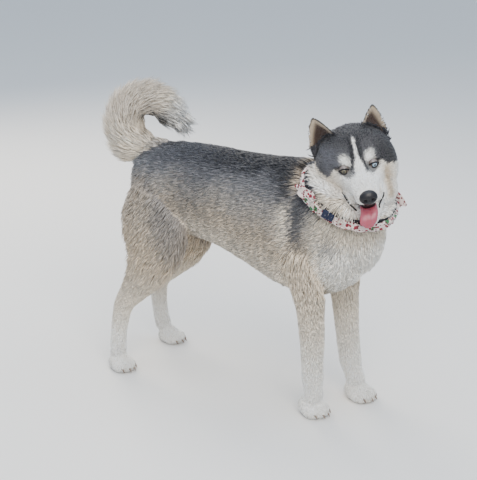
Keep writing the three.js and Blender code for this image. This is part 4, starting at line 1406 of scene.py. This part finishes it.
# The photo's camera: its place in metres, its right, up and forward ways, and its roll
CAMERA_AT = np.array([1.277, -2.265, 1.262])
CAMERA_WAYS = np.array([(0.870, 0.493, 0.0), (-0.160, 0.282, 0.946), (-0.467, 0.823, -0.324)])
CAMERA_ROLL = np.radians(1.21)


class OBJECT_OT_husky_stage(bpy.types.Operator):
    """Sets the floor, the light and the camera"""

    bl_idname = "mesh.husky_stage"
    bl_label = "Husky stage"

    def execute(self, context):
        size = context.scene.husky_stage.floor_size
        mesh = bpy.data.meshes.new("floor")
        corners = [(-size, -size, 0), (size, -size, 0), (size, size, 0), (-size, size, 0)]
        mesh.from_pydata(corners, [], [(0, 1, 2, 3)])
        floor = bpy.data.objects.new("floor", mesh)
        context.scene.collection.objects.link(floor)
        mesh.materials.append(material("pale_floor", 0.8, srgb("#e6e4e0"), spec=0.2))
        world = bpy.data.worlds.new("soft_shade")
        world.use_nodes = True
        back = world.node_tree.nodes["Background"]
        back.inputs["Color"].default_value = (*srgb("#c9d6e6"), 1)
        back.inputs["Strength"].default_value = 1.0
        context.scene.world = world
        for name, at, power, width, colour in (
            ("key", (1.6, -2.2, 2.6), 78, 2.4, "#fff6ea"),
            ("rim", (-2.2, 1.2, 2.0), 45, 1.6, "#fff2e0"),
            ("sky", (0.0, 0.0, 3.4), 50, 3.5, "#dfe9f7"),
        ):
            lamp = bpy.data.lights.new(name, "AREA")
            lamp.energy, lamp.size = power, width
            lamp.color = srgb(colour)
            obj = bpy.data.objects.new(name, lamp)
            context.scene.collection.objects.link(obj)
            obj.location = at
            towards = Vector((0, 0, 0.4)) - Vector(at)
            obj.rotation_euler = towards.to_track_quat("-Z", "Y").to_euler()
        camera = bpy.data.cameras.new("camera")
        camera.lens = 85.0
        camera.sensor_width = 36.0
        camera.clip_end = 50
        eye = bpy.data.objects.new("camera", camera)
        context.scene.collection.objects.link(eye)
        right, up, ahead = CAMERA_WAYS
        c, s = np.cos(CAMERA_ROLL), np.sin(CAMERA_ROLL)
        matrix = np.eye(4)
        matrix[:3, :3] = np.stack([c * right + s * up, c * up - s * right, -ahead], 1)
        matrix[:3, 3] = CAMERA_AT + SHIFT
        eye.matrix_world = Matrix(matrix.tolist())
        context.scene.camera = eye
        context.scene.view_settings.view_transform = "AgX"
        context.scene.view_settings.look = "AgX - Medium High Contrast"
        return {"FINISHED"}


class HuskyCoatSettings(bpy.types.PropertyGroup):
    """Settings of the coat"""

    spacing: bpy.props.FloatProperty(
        name="Spacing", description="Distance between roots as a share of a tuft's width",
        default=0.72, min=0.3, max=3,
    )
    most: bpy.props.IntProperty(
        name="Most tufts", description="Upper limit for the number of tufts", default=140000, min=1000
    )
    seed: bpy.props.IntProperty(name="Seed", description="Seed of the scatter", default=4)


class HuskyStageSettings(bpy.types.PropertyGroup):
    """Settings of the stage"""

    floor_size: bpy.props.FloatProperty(
        name="Floor", description="Half the side of the floor",
        default=12.0, min=1, unit="LENGTH", subtype="DISTANCE",
    )


class VIEW3D_PT_husky(bpy.types.Panel):
    """Buttons for each piece"""

    bl_label = "Husky"
    bl_idname = "VIEW3D_PT_husky"
    bl_space_type = "VIEW_3D"
    bl_region_type = "UI"
    bl_category = "Husky"

    def draw(self, context):
        for operator in OPERATORS:
            self.layout.operator(operator.bl_idname)
        self.layout.prop(context.scene.husky_coat, "spacing")
        self.layout.prop(context.scene.husky_coat, "most")
        self.layout.prop(context.scene.husky_stage, "floor_size")


OPERATORS = (
    OBJECT_OT_husky_skin, OBJECT_OT_husky_coat, OBJECT_OT_husky_face, OBJECT_OT_husky_claws,
    OBJECT_OT_husky_worn, OBJECT_OT_husky_stage,
)
CLASSES = (HuskyCoatSettings, HuskyStageSettings, *OPERATORS, VIEW3D_PT_husky)


def register():
    """Registers the classes and their settings."""
    for cls in CLASSES:
        bpy.utils.register_class(cls)
    bpy.types.Scene.husky_coat = bpy.props.PointerProperty(type=HuskyCoatSettings)
    bpy.types.Scene.husky_stage = bpy.props.PointerProperty(type=HuskyStageSettings)


def unregister():
    """Removes what register() added."""
    del bpy.types.Scene.husky_stage
    del bpy.types.Scene.husky_coat
    for cls in reversed(CLASSES):
        bpy.utils.unregister_class(cls)


def main():
    """Builds every piece."""
    register()
    bpy.ops.mesh.husky_skin()
    bpy.ops.mesh.husky_coat()
    bpy.ops.mesh.husky_face()
    bpy.ops.mesh.husky_claws()
    bpy.ops.mesh.husky_worn()
    bpy.ops.mesh.husky_stage()


if __name__ == "__main__":
    main()
